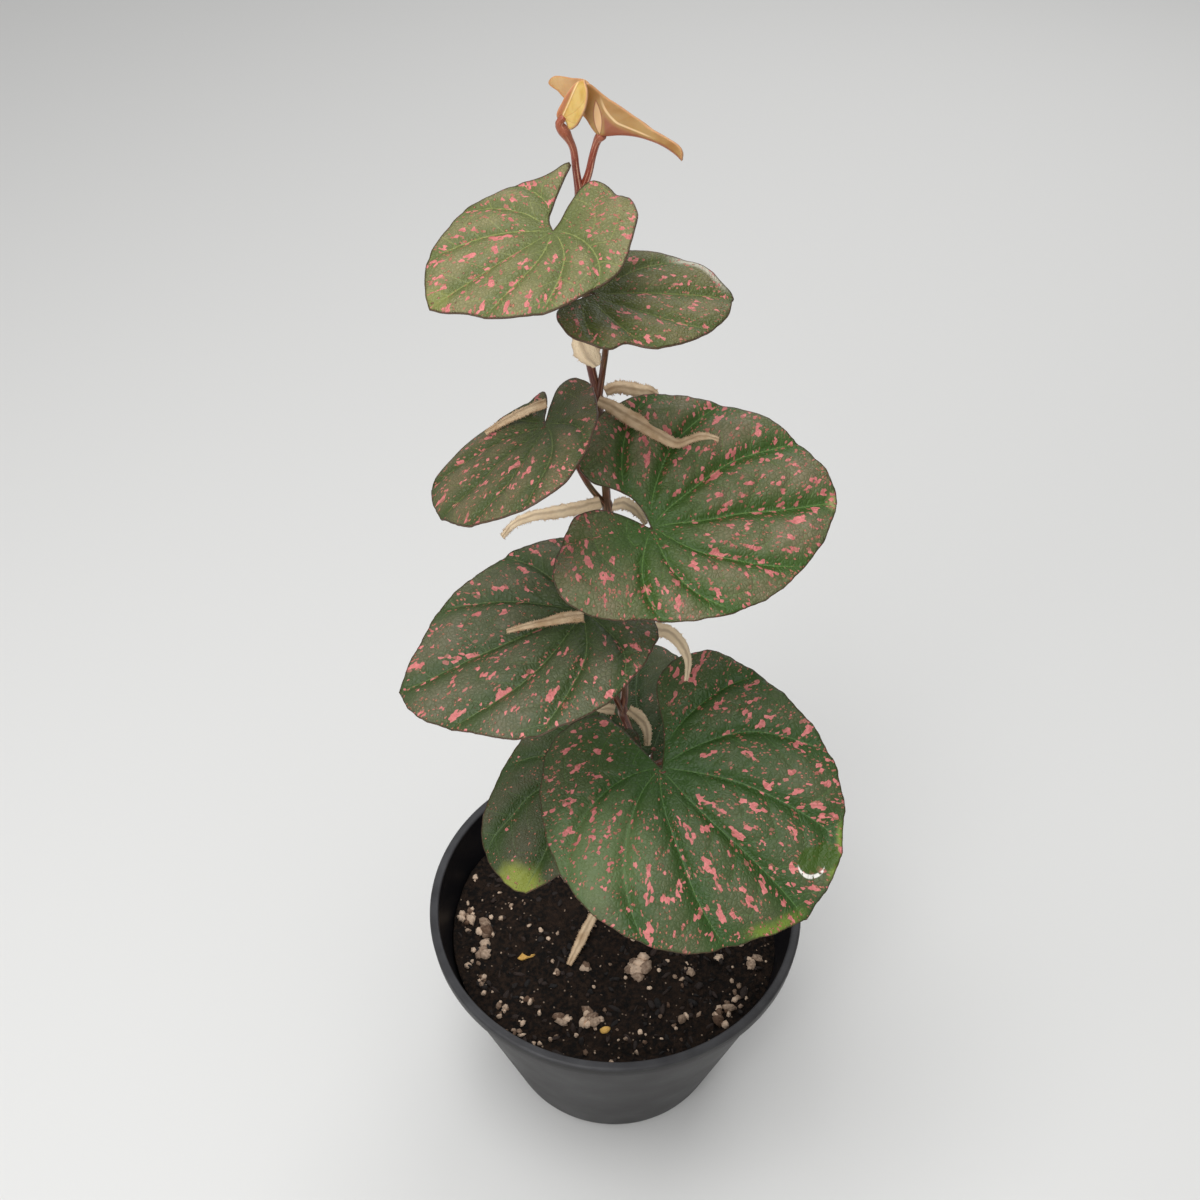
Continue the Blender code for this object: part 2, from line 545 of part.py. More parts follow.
def build_soil(collection, material):
    """The root ball: it fills the pot and has a plain hole that the stem stands in."""
    grains = soil_grains()
    foot = stem_at(SOIL_LEVEL)
    hole = STEM_RADIUS + 2 * CLEARANCE
    bottom = POT_WALL + CLEARANCE

    def wall_radius(height):
        return pot_outer_radius(height) - POT_WALL - CLEARANCE

    vertices = []
    for ring in range(SOIL_RINGS + 1):
        part = ring / SOIL_RINGS
        for spoke in range(SOIL_SPOKES):
            angle = math.tau * spoke / SOIL_SPOKES
            radius = hole + (wall_radius(SOIL_LEVEL) - hole) * part
            x = foot.x * (1 - part) + radius * math.cos(angle)
            y = foot.y * (1 - part) + radius * math.sin(angle)
            height = soil_height(x, y, grains if 0 < ring < SOIL_RINGS else [])
            if ring == SOIL_RINGS:
                x, y = (wall_radius(height) * turn for turn in (math.cos(angle), math.sin(angle)))
            vertices.append(Vector((x, y, height)))
    rings = SOIL_RINGS + 1
    for radius, height in ((wall_radius(3.2), 3.2), (POT_BASE_RADIUS - POT_WALL - 1.4, bottom)):
        for spoke in range(SOIL_SPOKES):
            angle = math.tau * spoke / SOIL_SPOKES
            vertices.append(Vector((radius * math.cos(angle), radius * math.sin(angle), height)))
    rings += 2
    faces = []
    for ring in range(rings - 1):
        for spoke in range(SOIL_SPOKES):
            after = (spoke + 1) % SOIL_SPOKES
            a, b = ring * SOIL_SPOKES + spoke, ring * SOIL_SPOKES + after
            c, d = a + SOIL_SPOKES, b + SOIL_SPOKES
            faces += [(a, c, b), (b, c, d)]
    underside = len(vertices)
    vertices.append(Vector((0.0, 0.0, bottom)))
    last = (rings - 1) * SOIL_SPOKES
    faces += [(underside, last + (spoke + 1) % SOIL_SPOKES, last + spoke) for spoke in range(SOIL_SPOKES)]
    floor = [len(vertices) + spoke for spoke in range(SOIL_SPOKES)]
    for spoke in range(SOIL_SPOKES):
        angle = math.tau * spoke / SOIL_SPOKES
        vertices.append(Vector((foot.x + hole * math.cos(angle), foot.y + hole * math.sin(angle),
                                SOIL_LEVEL - STEM_HOLE_DEPTH)))
        after = (spoke + 1) % SOIL_SPOKES
        faces += [(spoke, after, floor[spoke]), (after, floor[after], floor[spoke])]
    centre = len(vertices)
    vertices.append(Vector((foot.x, foot.y, SOIL_LEVEL - STEM_HOLE_DEPTH)))
    faces += [(centre, floor[spoke], floor[(spoke + 1) % SOIL_SPOKES]) for spoke in range(SOIL_SPOKES)]
    mesh = bpy.data.meshes.new("soil")
    mesh.from_pydata([vertex * MM for vertex in vertices], [], faces)
    return add_mesh_object("soil", mesh, collection, material)


def main():
    for obj in list(bpy.data.objects):
        bpy.data.objects.remove(obj)
    plant = bpy.data.collections.new("potted_piper_vine")
    cutters = bpy.data.collections.new("cutters")
    for collection in (plant, cutters):
        bpy.context.scene.collection.children.link(collection)
    plastic = new_material("pot_plastic", (0.03, 0.031, 0.035), 0.45)
    earth = new_material("potting_soil", (0.018, 0.012, 0.009), 0.95)
    bark = new_material("stem_bark", (0.16, 0.04, 0.025), 0.4)
    green = new_material("leaf_green", (0.045, 0.09, 0.025), 0.45)
    yellow = new_material("young_leaf", (0.6, 0.32, 0.09), 0.5)
    paper = new_material("dry_sheath", (0.62, 0.47, 0.29), 0.85)
    build_pot(plant, cutters, plastic)
    build_soil(plant, earth)
    build_stem(plant, bark)
    for name, leaf in LEAVES.items():
        build_leaf(name, leaf, plant, yellow if name in YOUNG_PETIOLES else green)
    for name, sheath in SHEATHS.items():
        build_sheath(name, sheath, plant, paper)


main()
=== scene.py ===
"""The looks of a potted piper vine: blades, stem, sheaths, potting mix and pot.

The plant's and the pot's sizes are millimetres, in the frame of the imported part: +Z up, the origin in the
middle of the pot's underside, and -Y the side that the plant is seen from. The camera, the lights and the
floor are in metres.
"""

import math

import bmesh
import bpy
import numpy as np
from mathutils import Matrix, Vector, geometry


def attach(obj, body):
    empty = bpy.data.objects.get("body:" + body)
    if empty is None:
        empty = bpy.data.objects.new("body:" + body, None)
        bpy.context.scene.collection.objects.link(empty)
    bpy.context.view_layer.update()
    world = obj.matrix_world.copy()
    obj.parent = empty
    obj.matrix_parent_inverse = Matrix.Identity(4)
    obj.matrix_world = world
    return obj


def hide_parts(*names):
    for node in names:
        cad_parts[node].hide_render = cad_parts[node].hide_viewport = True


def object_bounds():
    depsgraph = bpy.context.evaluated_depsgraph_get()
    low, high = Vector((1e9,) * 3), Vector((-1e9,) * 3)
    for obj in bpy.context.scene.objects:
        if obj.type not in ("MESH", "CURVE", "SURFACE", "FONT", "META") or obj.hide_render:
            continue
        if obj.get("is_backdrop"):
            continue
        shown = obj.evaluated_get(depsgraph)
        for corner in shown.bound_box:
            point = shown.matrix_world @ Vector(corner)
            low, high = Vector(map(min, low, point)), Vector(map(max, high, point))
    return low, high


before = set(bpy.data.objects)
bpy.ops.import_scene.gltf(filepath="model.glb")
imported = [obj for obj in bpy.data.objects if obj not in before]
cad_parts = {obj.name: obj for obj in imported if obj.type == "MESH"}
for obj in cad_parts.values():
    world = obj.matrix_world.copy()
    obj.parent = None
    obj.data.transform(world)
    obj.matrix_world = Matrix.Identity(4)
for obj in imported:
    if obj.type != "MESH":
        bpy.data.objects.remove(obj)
cad_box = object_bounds()

MM = 0.001

# The camera's place and downward tilt, and its lens in millimetres on a 36 mm wide sensor.
CAMERA_PLACE = (-0.0041, -0.2212, 0.3845)
CAMERA_TILT = 43.1
CAMERA_LENS = 42.0

# Each light's name, place, width and power, the point they all face and the light from all round.
LIGHTS = [
    ("overhead", (-0.15, -0.15, 0.95), 0.5, 4.4),
    ("front", (-0.35, -0.7, 0.55), 0.5, 3.2),
    ("behind", (0.3, 0.8, 0.75), 0.6, 2.4),
]
LIGHT_AIM = (0.0, 0.0, 0.17)
AMBIENT = 0.42
FLOOR_REACH = 3

POT_RIM_RADIUS = 50.0
POT_HEIGHT = 67.0
POT_BASE_RADIUS = 31.0
POT_WALL = 1.0
POT_BAND_DEPTH = 4.0
POT_BAND_STEP = 1.4
POT_LIP_RADIUS = 0.7
POT_TAPER = (POT_RIM_RADIUS - POT_BAND_STEP - POT_BASE_RADIUS) / (POT_HEIGHT - POT_BAND_DEPTH)
POT_STEPS = 144

# The mix is rings of points: its lumpy surface, then its side at these heights.
SOIL_LEVEL = 52.5
SOIL_SIDE_LEVELS = (SOIL_LEVEL - 6, 20.0, 1.4)
SOIL_RINGS = 100
SOIL_SPOKES = 300
SOIL_LUMPS = 1500
SOIL_SEED = 5
CRUMB_INSET = 1.5

STEM_RADIUS = 0.95
STEM_TAPER = 0.12
STEM_SIDES = 24
NODE_SWELLING = 0.35
NODE_GROOVE = 0.12
PETIOLE_RADIUS = 0.68
PETIOLE_SIDES = 18

# How thick a blade is, how far apart the points of a grown and of a young one lie, and how many waves the
# unevenness of margins and papers is made of.
BLADE_THICKNESS = 0.35
BLADE_GRID = 0.7
YOUNG_GRID = 0.3
WAVE_COUNT = 7

# The shoot, from its foot in the soil up to the fork under the two youngest leaves.
STEM_ROUTE = [
    (2, 0, 34.5), (2, 0, 52), (2.8, 0.2, 85), (3.2, 0, 115), (3, 0, 133.5), (1.3, 0, 141.6), (1.6, 0.4, 150),
    (0.6, 0.6, 175), (-2.5, 0, 203.2), (-3.2, 0.6, 215), (-4.5, 0, 229.8), (-6.3, 0.3, 241), (-6.6, 0.3, 256),
    (-7.5, 0, 273),
]
NODE_HEIGHTS = [72, 92, 112, 141.6, 172, 203.2, 229.8, 261]

# One heart-shaped blade each. The origin of a blade's own frame is where the petiole joins it, x runs
# along the midrib to the tip and y to the left. `left` and `right` are the margins from the tip back to
# the petiole. `fold` lifts the halves, `curl` bends their margins down and `droop` bends the tip down, in
# degrees for angles. `lift` raises the back lobes, where a blade has it.
LEAVES = {
    "leaf_1": dict(
        petiole_from=261, via=[(-8, -2, 266.5), (-9.6, -8, 271.5)], at=(-11.7, -16, 274.2),
        azimuth=-150, pitch=15, roll=-7, length=24, fold=7, curl=(14, 14), lift=(3, 2), droop=8, tip=(24, 0),
        left=[(21.7, 4), (16.3, 11), (10, 15.3), (2.3, 16.5), (-3.6, 15.4), (-9.7, 10.4), (-12, 6.3),
              (-12.2, 0.3), (-11.3, -3.3), (-9, -4.5), (-5, -3.1), (-2.1, -1.2)],
        right=[(22.8, -3.1), (20.3, -7.3), (15.3, -11.3), (8.4, -14.2), (1.2, -13.4), (-5.2, -11.6),
               (-9.8, -10.2), (-6.7, -7.8), (-3, -4.8), (-0.8, -2.5)]),
    "leaf_2": dict(
        petiole_from=229.8, via=[(-3.6, -1, 237), (-3, -3.4, 245), (-3.6, -10, 255.5)], at=(-4.9, -17, 263.1),
        azimuth=7, pitch=1, roll=12, length=24, fold=8, curl=(18, 14), droop=12, tip=(23.9, 0),
        left=[(23.2, 2.6), (19, 7.1), (12.9, 9), (6.6, 10.2), (0, 10.8), (-5, 9), (-7.5, 5.5), (-6.5, 2.5),
              (-3, 1)],
        right=[(21, -6.3), (14.9, -11.6), (8.2, -13.5), (3.6, -12.5), (0.6, -13.7), (-3.7, -11.6), (-6, -8.9),
               (-7, -5.5), (-5.8, -2.6), (-2.6, -1)]),
    "leaf_3": dict(
        petiole_from=203.2, via=[(-6.6, -0.5, 210), (-10.8, -3, 222), (-12.6, -10.5, 231.5)],
        at=(-14, -19, 237.9), azimuth=-144, pitch=20, roll=17, length=25,
        fold=6, curl=(16, 10), lift=(3, 1), droop=8, tip=(24.9, 0),
        left=[(22.8, 8.9), (16.8, 15.6), (8.6, 19), (1.7, 16.8), (-4.5, 12.2), (-7.7, 8.2), (-9.8, 3.6),
              (-11.4, -1), (-10.4, -5.5), (-7.5, -6.4), (-4.2, -4.6), (-1.6, -2)],
        right=[(24.4, -3), (23.4, -6.2), (20.2, -10.3), (12.7, -12), (5.7, -11.5), (-2.2, -9.6), (-5.2, -8.8),
               (-4.6, -6.6), (-2, -3.4)]),
    "leaf_4": dict(
        petiole_from=172, via=[(3.2, -0.5, 186), (5.8, -5, 198), (6.4, -13, 208)], at=(5.6, -21, 215.6),
        azimuth=9, pitch=-5, roll=28, length=36, fold=9, curl=(8, 20), lift=(2, 4), droop=10, tip=(36.5, 0),
        left=[(35.8, 5.5), (31.9, 11.7), (26.7, 17.7), (18.3, 22.1), (9.2, 25.5), (1, 26.5), (-7, 22.5),
              (-11.4, 15.3), (-9.8, 10.8), (-6.6, 9.2), (-4.1, 8.1), (-2.3, 6.2), (-0.8, 3.3)],
        right=[(34.5, -3.4), (29.7, -9.7), (20.8, -16.6), (12.1, -19.5), (4, -19.9), (-3.7, -18.5),
               (-11.3, -17.1), (-16.5, -14.8), (-19.6, -10.6), (-19.6, -6.1), (-17.7, -1.1), (-14.3, 4),
               (-10, 5.3), (-6.8, 4.4), (-3.7, 2.7)]),
    "leaf_5": dict(
        petiole_from=141.6, via=[(-1.4, -1.6, 151), (-4.8, -8, 170), (-6.9, -15.5, 185)],
        at=(-7.6, -22, 194.9), azimuth=-163, pitch=12, roll=-7, length=39,
        fold=7, curl=(14, 10), droop=10, tip=(39.4, 0),
        left=[(37.8, 7), (31.3, 14.3), (22.8, 21), (15, 23.7), (5, 23.5), (-3.3, 19.9), (-9.8, 14.7),
              (-12, 11), (-12.2, 6.5), (-9, 3.5), (-4, 1.8)],
        right=[(34.4, -6.2), (26.9, -13.2), (17.6, -17.8), (6, -20.3), (-1.5, -19.5), (-8.5, -16),
               (-11.8, -11), (-11.5, -6), (-8, -3), (-3.5, -1.3)]),
    "leaf_6": dict(
        petiole_from=112, via=[(6, -2, 122), (9.5, -9, 134), (10.4, -19, 146)], at=(9, -27, 153.5),
        azimuth=-47, pitch=11, roll=24, length=45, fold=8, curl=(12, 10), droop=32, tip=(44.7, 0),
        left=[(41.7, 8.4), (35.3, 19.2), (28.7, 25.2), (20.6, 28.5), (11.6, 30), (0.6, 29.4), (-9.8, 26.8),
              (-13.6, 22.7), (-15.5, 17.7), (-14.2, 12.6), (-10.8, 9.7), (-5.1, 5.8)],
        right=[(42, -5.8), (37.4, -14.5), (32.2, -22.2), (25.3, -27.8), (16.4, -31.3), (7.8, -32.2),
               (-2.3, -29.9), (-14, -22.9), (-21.2, -12.9), (-19.7, -2.8), (-14, 0), (-6.3, 0.1)]),
    "leaf_7": dict(
        petiole_from=92, via=[(1.2, -0.6, 104), (-1.8, -3.4, 120), (-4.2, -7, 130)], at=(-6, -10, 136.2),
        azimuth=-122, pitch=25, roll=-2, length=34, fold=8, curl=(8, 8), droop=16, tip=(33.9, 0),
        left=[(29.9, 3.5), (27, 5.8), (21, 11), (12.5, 14.2), (4, 14), (-4, 11.5), (-9, 8), (-10.5, 4.5),
              (-7.5, 2), (-3.5, 1)],
        right=[(34.3, -4), (31.1, -11.8), (25, -16.1), (13.3, -18), (2.6, -17.3), (-6, -14.5), (-11, -9.5),
               (-11.5, -5), (-7.5, -2), (-3, -1)]),
    "leaf_8": dict(
        petiole_from=72, via=[(3.9, 0.8, 84), (6.4, 3.6, 102)], at=(8.9, 8, 118.1),
        azimuth=70, pitch=-32, roll=0, length=32, fold=6, curl=(10, 8), droop=40, tip=(29.4, 3.5),
        left=[(30.8, 8), (28, 12.5), (20, 16.5), (9, 18), (-2, 16.5), (-9, 12), (-11.5, 7.5), (-8.5, 3.5),
              (-3.5, 1.6)],
        right=[(27, -2), (22, -8.5), (14, -13.5), (4, -15), (-5, -13), (-11, -8.5), (-12, -4.5), (-8, -2.2),
               (-3.5, -1)]),
    "young_leaf_left": dict(
        at=(-10.1, -2, 286.4), azimuth=0, pitch=-66, roll=62, length=8.5,
        fold=25, curl=(-30, -30), droop=0, tip=(7.3, -0.6),
        left=[(6.6, 0.2), (5.6, 0.7), (3.8, 1.1), (2, 1.3), (0.2, 1.3), (-0.6, 0.7)],
        right=[(6.8, -1.5), (6.2, -2.4), (4.8, -3.2), (3.4, -3.5), (1.4, -3.4), (0.2, -2.9), (-0.7, -2)]),
    "young_leaf_right": dict(
        at=(-4.1, -1, 283.3), azimuth=-6, pitch=-16, roll=-30, length=15.2,
        fold=70, curl=(-6, -6), droop=54, tip=(15.2, 0),
        left=[(14.4, 1.3), (12.8, 1.8), (11.2, 1.8), (8.4, 2.2), (5.6, 3.4), (2.8, 5.2), (0.4, 7.9),
              (-1.6, 10.6), (-4, 11.6), (-6.8, 12.6), (-8, 11.8), (-6.6, 10.2), (-5.8, 9), (-4.6, 7.6),
              (-3.2, 5.5), (-1.6, 3.2)],
        right=[(14.4, -1.3), (13.4, -1.8), (11.2, -1.8), (8.4, -2.3), (6, -3.5), (3.6, -5), (1.6, -6.8),
               (0, -9.2), (-1.2, -7.3), (-1.6, -4.6), (-1.3, -3.1), (-0.7, -1.3)]),
}

# The petioles of the two youngest leaves rise from the fork.
YOUNG_PETIOLES = {
    "young_leaf_left": [(-7.5, 0, 272), (-8.1, -0.4, 276.5), (-8.5, -0.8, 280.5), (-9.6, -1.2, 283.2),
                        (-10.7, -1.5, 285.2)],
    "young_leaf_right": [(-7.5, 0, 272), (-6.1, 0, 275.6), (-5.3, -0.2, 279.2), (-4.5, -0.5, 282)],
}

# Where petioles widen near the top: how far below it, how long and how much.
PETIOLE_SWELLING = (0, 1.2, 0.25)
YOUNG_SWELLINGS = {"young_leaf_left": (3.2, 1.5, 0.6), "young_leaf_right": (0.2, 1.4, 0.4)}

# Dry papery sheaths: x, y, z and width at each point from the root to the tip, the way the face turns, how
# deep the crease is and how light the paper is, about 0 to 1.
SHEATHS = {
    "sheath_1": dict(tone=1.1, face=(-0.2, -0.8, 0.5), crease=0.5, route=[
        (-7.2, -2.2, 246.3, 3.6), (-7, -2.6, 243.7, 4.4), (-5.9, -2.9, 241.6, 4.2),
        (-4.7, -2.8, 239.3, 1.4)]),
    "sheath_2": dict(tone=0.4, face=(0, -0.6, 0.8), crease=0.4, route=[
        (-3.2, 1.2, 231, 2), (-0.6, 3, 230.7, 2.2), (2.5, 5, 228.8, 2.6), (5.7, 7, 226.8, 2.2),
        (7.4, 8, 225.4, 0.9)]),
    "sheath_3": dict(tone=0.3, face=(0, -0.5, 0.9), crease=0.5, route=[
        (-4.4, -2.5, 231.4, 1.8), (-1.8, -3, 230.3, 2.6), (0.7, -3.9, 229.1, 2.9), (3.5, -5.4, 228.1, 2.7),
        (7.3, -7.3, 226.7, 2.4), (10.3, -8.4, 225.8, 1.9), (13, -7.6, 226.1, 1.4), (15.3, -6.9, 226.3, 1.6),
        (18.4, -7.2, 225.8, 0.9)]),
    "sheath_4": dict(tone=0.35, face=(-0.2, -0.2, 0.9), crease=0.4, route=[
        (-13.6, -14.6, 239.4, 2), (-16.5, -14.6, 238.1, 2.3), (-19.3, -15, 236.9, 2),
        (-22, -15.7, 235.6, 1.5), (-24.7, -17, 234.4, 0.8)]),
    "sheath_5": dict(tone=0.62, face=(0, -0.6, 0.8), crease=0.5, route=[
        (-4, -1.9, 206.2, 2.4), (-8.1, -3.2, 205.9, 2.7), (-12.9, -4.5, 205.8, 2.5), (-18.1, -5, 205, 2),
        (-21.6, -5.5, 203.3, 1.4), (-23.9, -5.5, 200.1, 0.8)]),
    "sheath_6": dict(tone=0.8, face=(-0.2, -0.6, 0.8), crease=0.4, route=[
        (-1.4, -1.5, 205.2, 2), (0.8, -5, 208.4, 2.4), (3.1, -8.6, 209.6, 1.8), (4.9, -12.5, 209.4, 0.8)]),
    "sheath_7": dict(tone=0.3, face=(-0.1, -0.3, 0.9), crease=0.4, route=[
        (-7.2, -24.2, 195.9, 2.4), (-10.6, -24.1, 195.3, 2.4), (-14.5, -24.5, 194.6, 1.8),
        (-18.4, -24.8, 193.7, 1.3), (-22.4, -25.2, 192.7, 0.8)]),
    "sheath_8": dict(tone=0.95, face=(0.3, -0.6, 0.7), crease=0.5, route=[
        (2.2, -1.2, 171.5, 2.2), (7.8, -4.5, 173.1, 2.9), (10.5, -6, 173.7, 2.9), (13.1, -8, 172.3, 2.7),
        (14.6, -10, 170.1, 1.9), (14.8, -11.5, 168.3, 1.4), (14.4, -13, 165.8, 0.8)]),
    "sheath_9": dict(tone=0.6, face=(0.1, -0.8, 0.6), crease=0.4, route=[
        (2.5, -1.3, 143.9, 2), (4.7, -2.8, 143.4, 2.6), (6.5, -4.5, 141.6, 2.2), (7, -5.3, 139.1, 1.7),
        (6.9, -6.2, 136.9, 1.2)]),
    "sheath_10": dict(tone=0.55, face=(-0.1, -0.8, 0.6), crease=0.3, route=[
        (-0.7, -2.6, 145.2, 2.2), (-2.5, -2.9, 145.9, 2.2), (-4.8, -3.4, 146.2, 0.8)]),
    "sheath_11": dict(tone=0.4, face=(0, -0.1, 1), crease=0.3, route=[
        (-5.8, 2.8, 55.2, 2.2), (-8.3, -2.6, 54.9, 2.6), (-10.4, -7.8, 54.9, 2.2),
        (-12.5, -12.8, 54.7, 1.1)]),
}

# A sheath's points: the step along it and the columns across it. Both of its edges carry hairs.
SHEATH_STEP = 0.3
SHEATH_COLUMNS = 13
SHEATH_SEED = 200
PAPER_THICKNESS = 0.16
HAIRS_PER_STEP = 3

# How the flat blade is veined: the angle between main veins at the stalk and how far they bend forward,
# then how many side veins the blade's length holds and how far they slant.
MAIN_VEINS = 7
VEIN_ANGLE = 43.0
VEIN_BEND = 0.5
SIDE_VEINS = 6.0
SIDE_SLANT = 1.6

# Flecks lie in lanes between the main veins, each lane turned along its vein with a pattern of its own.
# They are groups of angular cells: their sizes on the largest blade, and how far a cell strays from its
# group.
LANE_ANGLE = math.radians(0.72 * VEIN_ANGLE)
LANE_SHIFT = 7.3
FLECK_STRETCH = (0.62, 1.0, 1.0)
FLECK_CELL = 0.58
FLECK_CLUSTER = 2.1
FLECK_SCATTER = 0.15
BIT_CELL = 0.3
BIT_CLUSTER = 0.85
SPECK_CELL = 0.46

# Linear colours that the blades share.
FLECK_PINKS = ((0.36, 0.09, 0.08), (0.8, 0.26, 0.25))
BIT_PINK = (0.42, 0.13, 0.1)
SPECK_MIDDLE = (0.42, 0.17, 0.1)
SPECK_RIM = (0.1, 0.03, 0.015)
POCKET_GREEN = (0.04, 0.085, 0.006)
# A painted highlight: the pale crescent in the hollow behind a turned-up margin.
POCKET_HIGHLIGHT = (0.85, 0.83, 0.78)
BLADE_HEM = (0.06, 0.03, 0.015)
BLADE_RIM = ((0.045, 0.02, 0.012), (0.12, 0.07, 0.03))
YOUNG_RIM = ((0.4, 0.17, 0.08), (0.65, 0.38, 0.18))
LOWER_BLOTCH = (0.2, 0.09, 0.06)
LOWER_GREY = (0.16, 0.13, 0.08)
YOUNG_RED = (0.3, 0.08, 0.05)
FOLD_LINE = (0.95, 0.72, 0.42)
PALE_RIB = (0.85, 0.56, 0.3)

# On a young blade's lower face, what x times y is along the fold line, and how far the ridge runs out from
# the midrib.
FOLD_PRODUCT = 7.4
RIDGE_LENGTH = 6.6

# What each blade looks like: the colours of its valleys and of its raised parts (linear), the paler
# colour of the raised parts partly a painted sheen, how full of flecks it is from 0 to 1, how far it swells
# between its veins, a number that sets its random pattern, and marks of another colour, some of them painted
# light: x, y, size, depth in from the margin, colour and strength. `roll` turns a margin up: x, y, size and
# height. `pocket` is the hollow behind it, with a painted highlight along it: x, y and size. `edged` is set
# for the young blade whose midrib shows as a bright line.
LOOKS = {
    # leaf_1's colours are paler partly as painted light, standing for the glare on this highest grown blade.
    "leaf_1": dict(green=(0.12, 0.145, 0.042), pale=(0.24, 0.215, 0.1), flecks=0.6, swell=0.85, seed=11,
                   marks=[(23, 0, 5, 9, (0.3, 0.3, 0.08), 0.4)]),
    "leaf_2": dict(green=(0.075, 0.1, 0.022), pale=(0.155, 0.135, 0.055), flecks=0.48, swell=0.75, seed=22,
                   marks=[(18, 5, 8, 2, (0.6, 0.56, 0.45), 0.8)]),
    "leaf_3": dict(green=(0.055, 0.078, 0.02), pale=(0.15, 0.125, 0.06), flecks=0.45, swell=0.85, seed=33),
    "leaf_4": dict(green=(0.045, 0.1, 0.016), pale=(0.185, 0.16, 0.088), flecks=0.63, swell=1.35, seed=44,
                   marks=[(36, 0, 3, 5, (0.42, 0.4, 0.16), 0.6)]),
    "leaf_5": dict(green=(0.045, 0.075, 0.02), pale=(0.13, 0.125, 0.072), flecks=0.52, swell=1.05, seed=55),
    "leaf_6": dict(green=(0.03, 0.075, 0.012), pale=(0.086, 0.104, 0.043), flecks=0.57, swell=0.95, seed=66,
                   marks=[(40, -6, 10, 4, (0.17, 0.25, 0.03), 0.8), (38, 14, 9, 1.8, (0.2, 0.28, 0.04), 0.8),
                          # The last mark is a painted pool of light, lifting the shade from the leaves above
                          # and the blade's slope.
                          (4, -22, 17, 99, (0.135, 0.19, 0.075), 0.65)],
                   pocket=(36, 8.5, 2.7), roll=(38, 12, 6, 3.4)),
    "leaf_7": dict(green=(0.033, 0.064, 0.012), pale=(0.075, 0.075, 0.036), flecks=0, swell=0.8, seed=77,
                   marks=[(34, -2, 9, 12, (0.3, 0.34, 0.05), 0.8)]),
    "leaf_8": dict(green=(0.022, 0.045, 0.008), pale=(0.05, 0.058, 0.018), flecks=0.12, swell=0.8, seed=88),
    "young_leaf_left": dict(green=(0.52, 0.33, 0.075), pale=(0.62, 0.44, 0.15), edged=True,
                            swell=0.3, seed=91),
    "young_leaf_right": dict(green=(0.33, 0.165, 0.045), pale=(0.43, 0.27, 0.1), edged=False,
                             swell=0, seed=92),
}

# Pale grains lie on the mix in clusters: x, y, spread, how many and how big.
GRAIN_CLUSTERS = [
    (-41, 4, 2.4, 10, 1.0), (-36, -1, 2.6, 10, 1.1), (-37, -9, 2.6, 8, 1.0), (6.5, -11.5, 3.4, 20, 1.3),
    (-16, -15, 1, 3, 0.7), (-35, -18, 1.8, 6, 0.8), (-23, -23, 1.2, 3, 1.0), (-14, -28, 1.6, 4, 1.1),
    (-7, -28, 2.4, 11, 1.2), (20, -13, 1.2, 4, 0.9), (18, -27, 1.2, 3, 1.1), (27, -26, 3, 12, 1.0),
    (37, -10, 2, 5, 0.9), (28, -8, 1.8, 5, 0.8), (-30, -25, 2.4, 7, 0.7), (-25, -32, 2.4, 7, 0.6),
    (6, -34, 2.4, 5, 0.6), (32, -18, 2.4, 5, 0.6), (-8, -13, 1, 3, 0.8), (-12, 24, 3, 9, 1.0),
    (16, 27, 3, 9, 1.1), (33, 12, 3, 7, 0.9), (-30, 22, 3, 8, 1.0), (-3, 38, 2, 5, 0.9),
]
AMBER_BIT = (-2.8, -31.5)
YELLOW_BIT = (-24.0, -9.0)
SCATTERED_GRAINS = 190
BARK_CRUMBS = 420
PALE, BARK, AMBER = 1, 2, 3


class Value:
    """An output of a material's nodes, which takes plain arithmetic."""

    def __init__(self, graph, socket):
        self.graph = graph
        self.socket = socket

    def __add__(self, other):
        return self.graph.math("ADD", self, other)

    def __sub__(self, other):
        return self.graph.math("SUBTRACT", self, other)

    def __mul__(self, other):
        return self.graph.math("MULTIPLY", self, other)

    def __truediv__(self, other):
        return self.graph.math("DIVIDE", self, other)

    def __abs__(self):
        return self.graph.math("ABSOLUTE", self)

    def ramp(self, low, high):
        """0 where the value is `low` and 1 where it is `high`, smooth between them; low may be the larger."""
        return self.graph.add("MapRange", self, low, high, 0.0, 1.0, interpolation_type="SMOOTHSTEP")


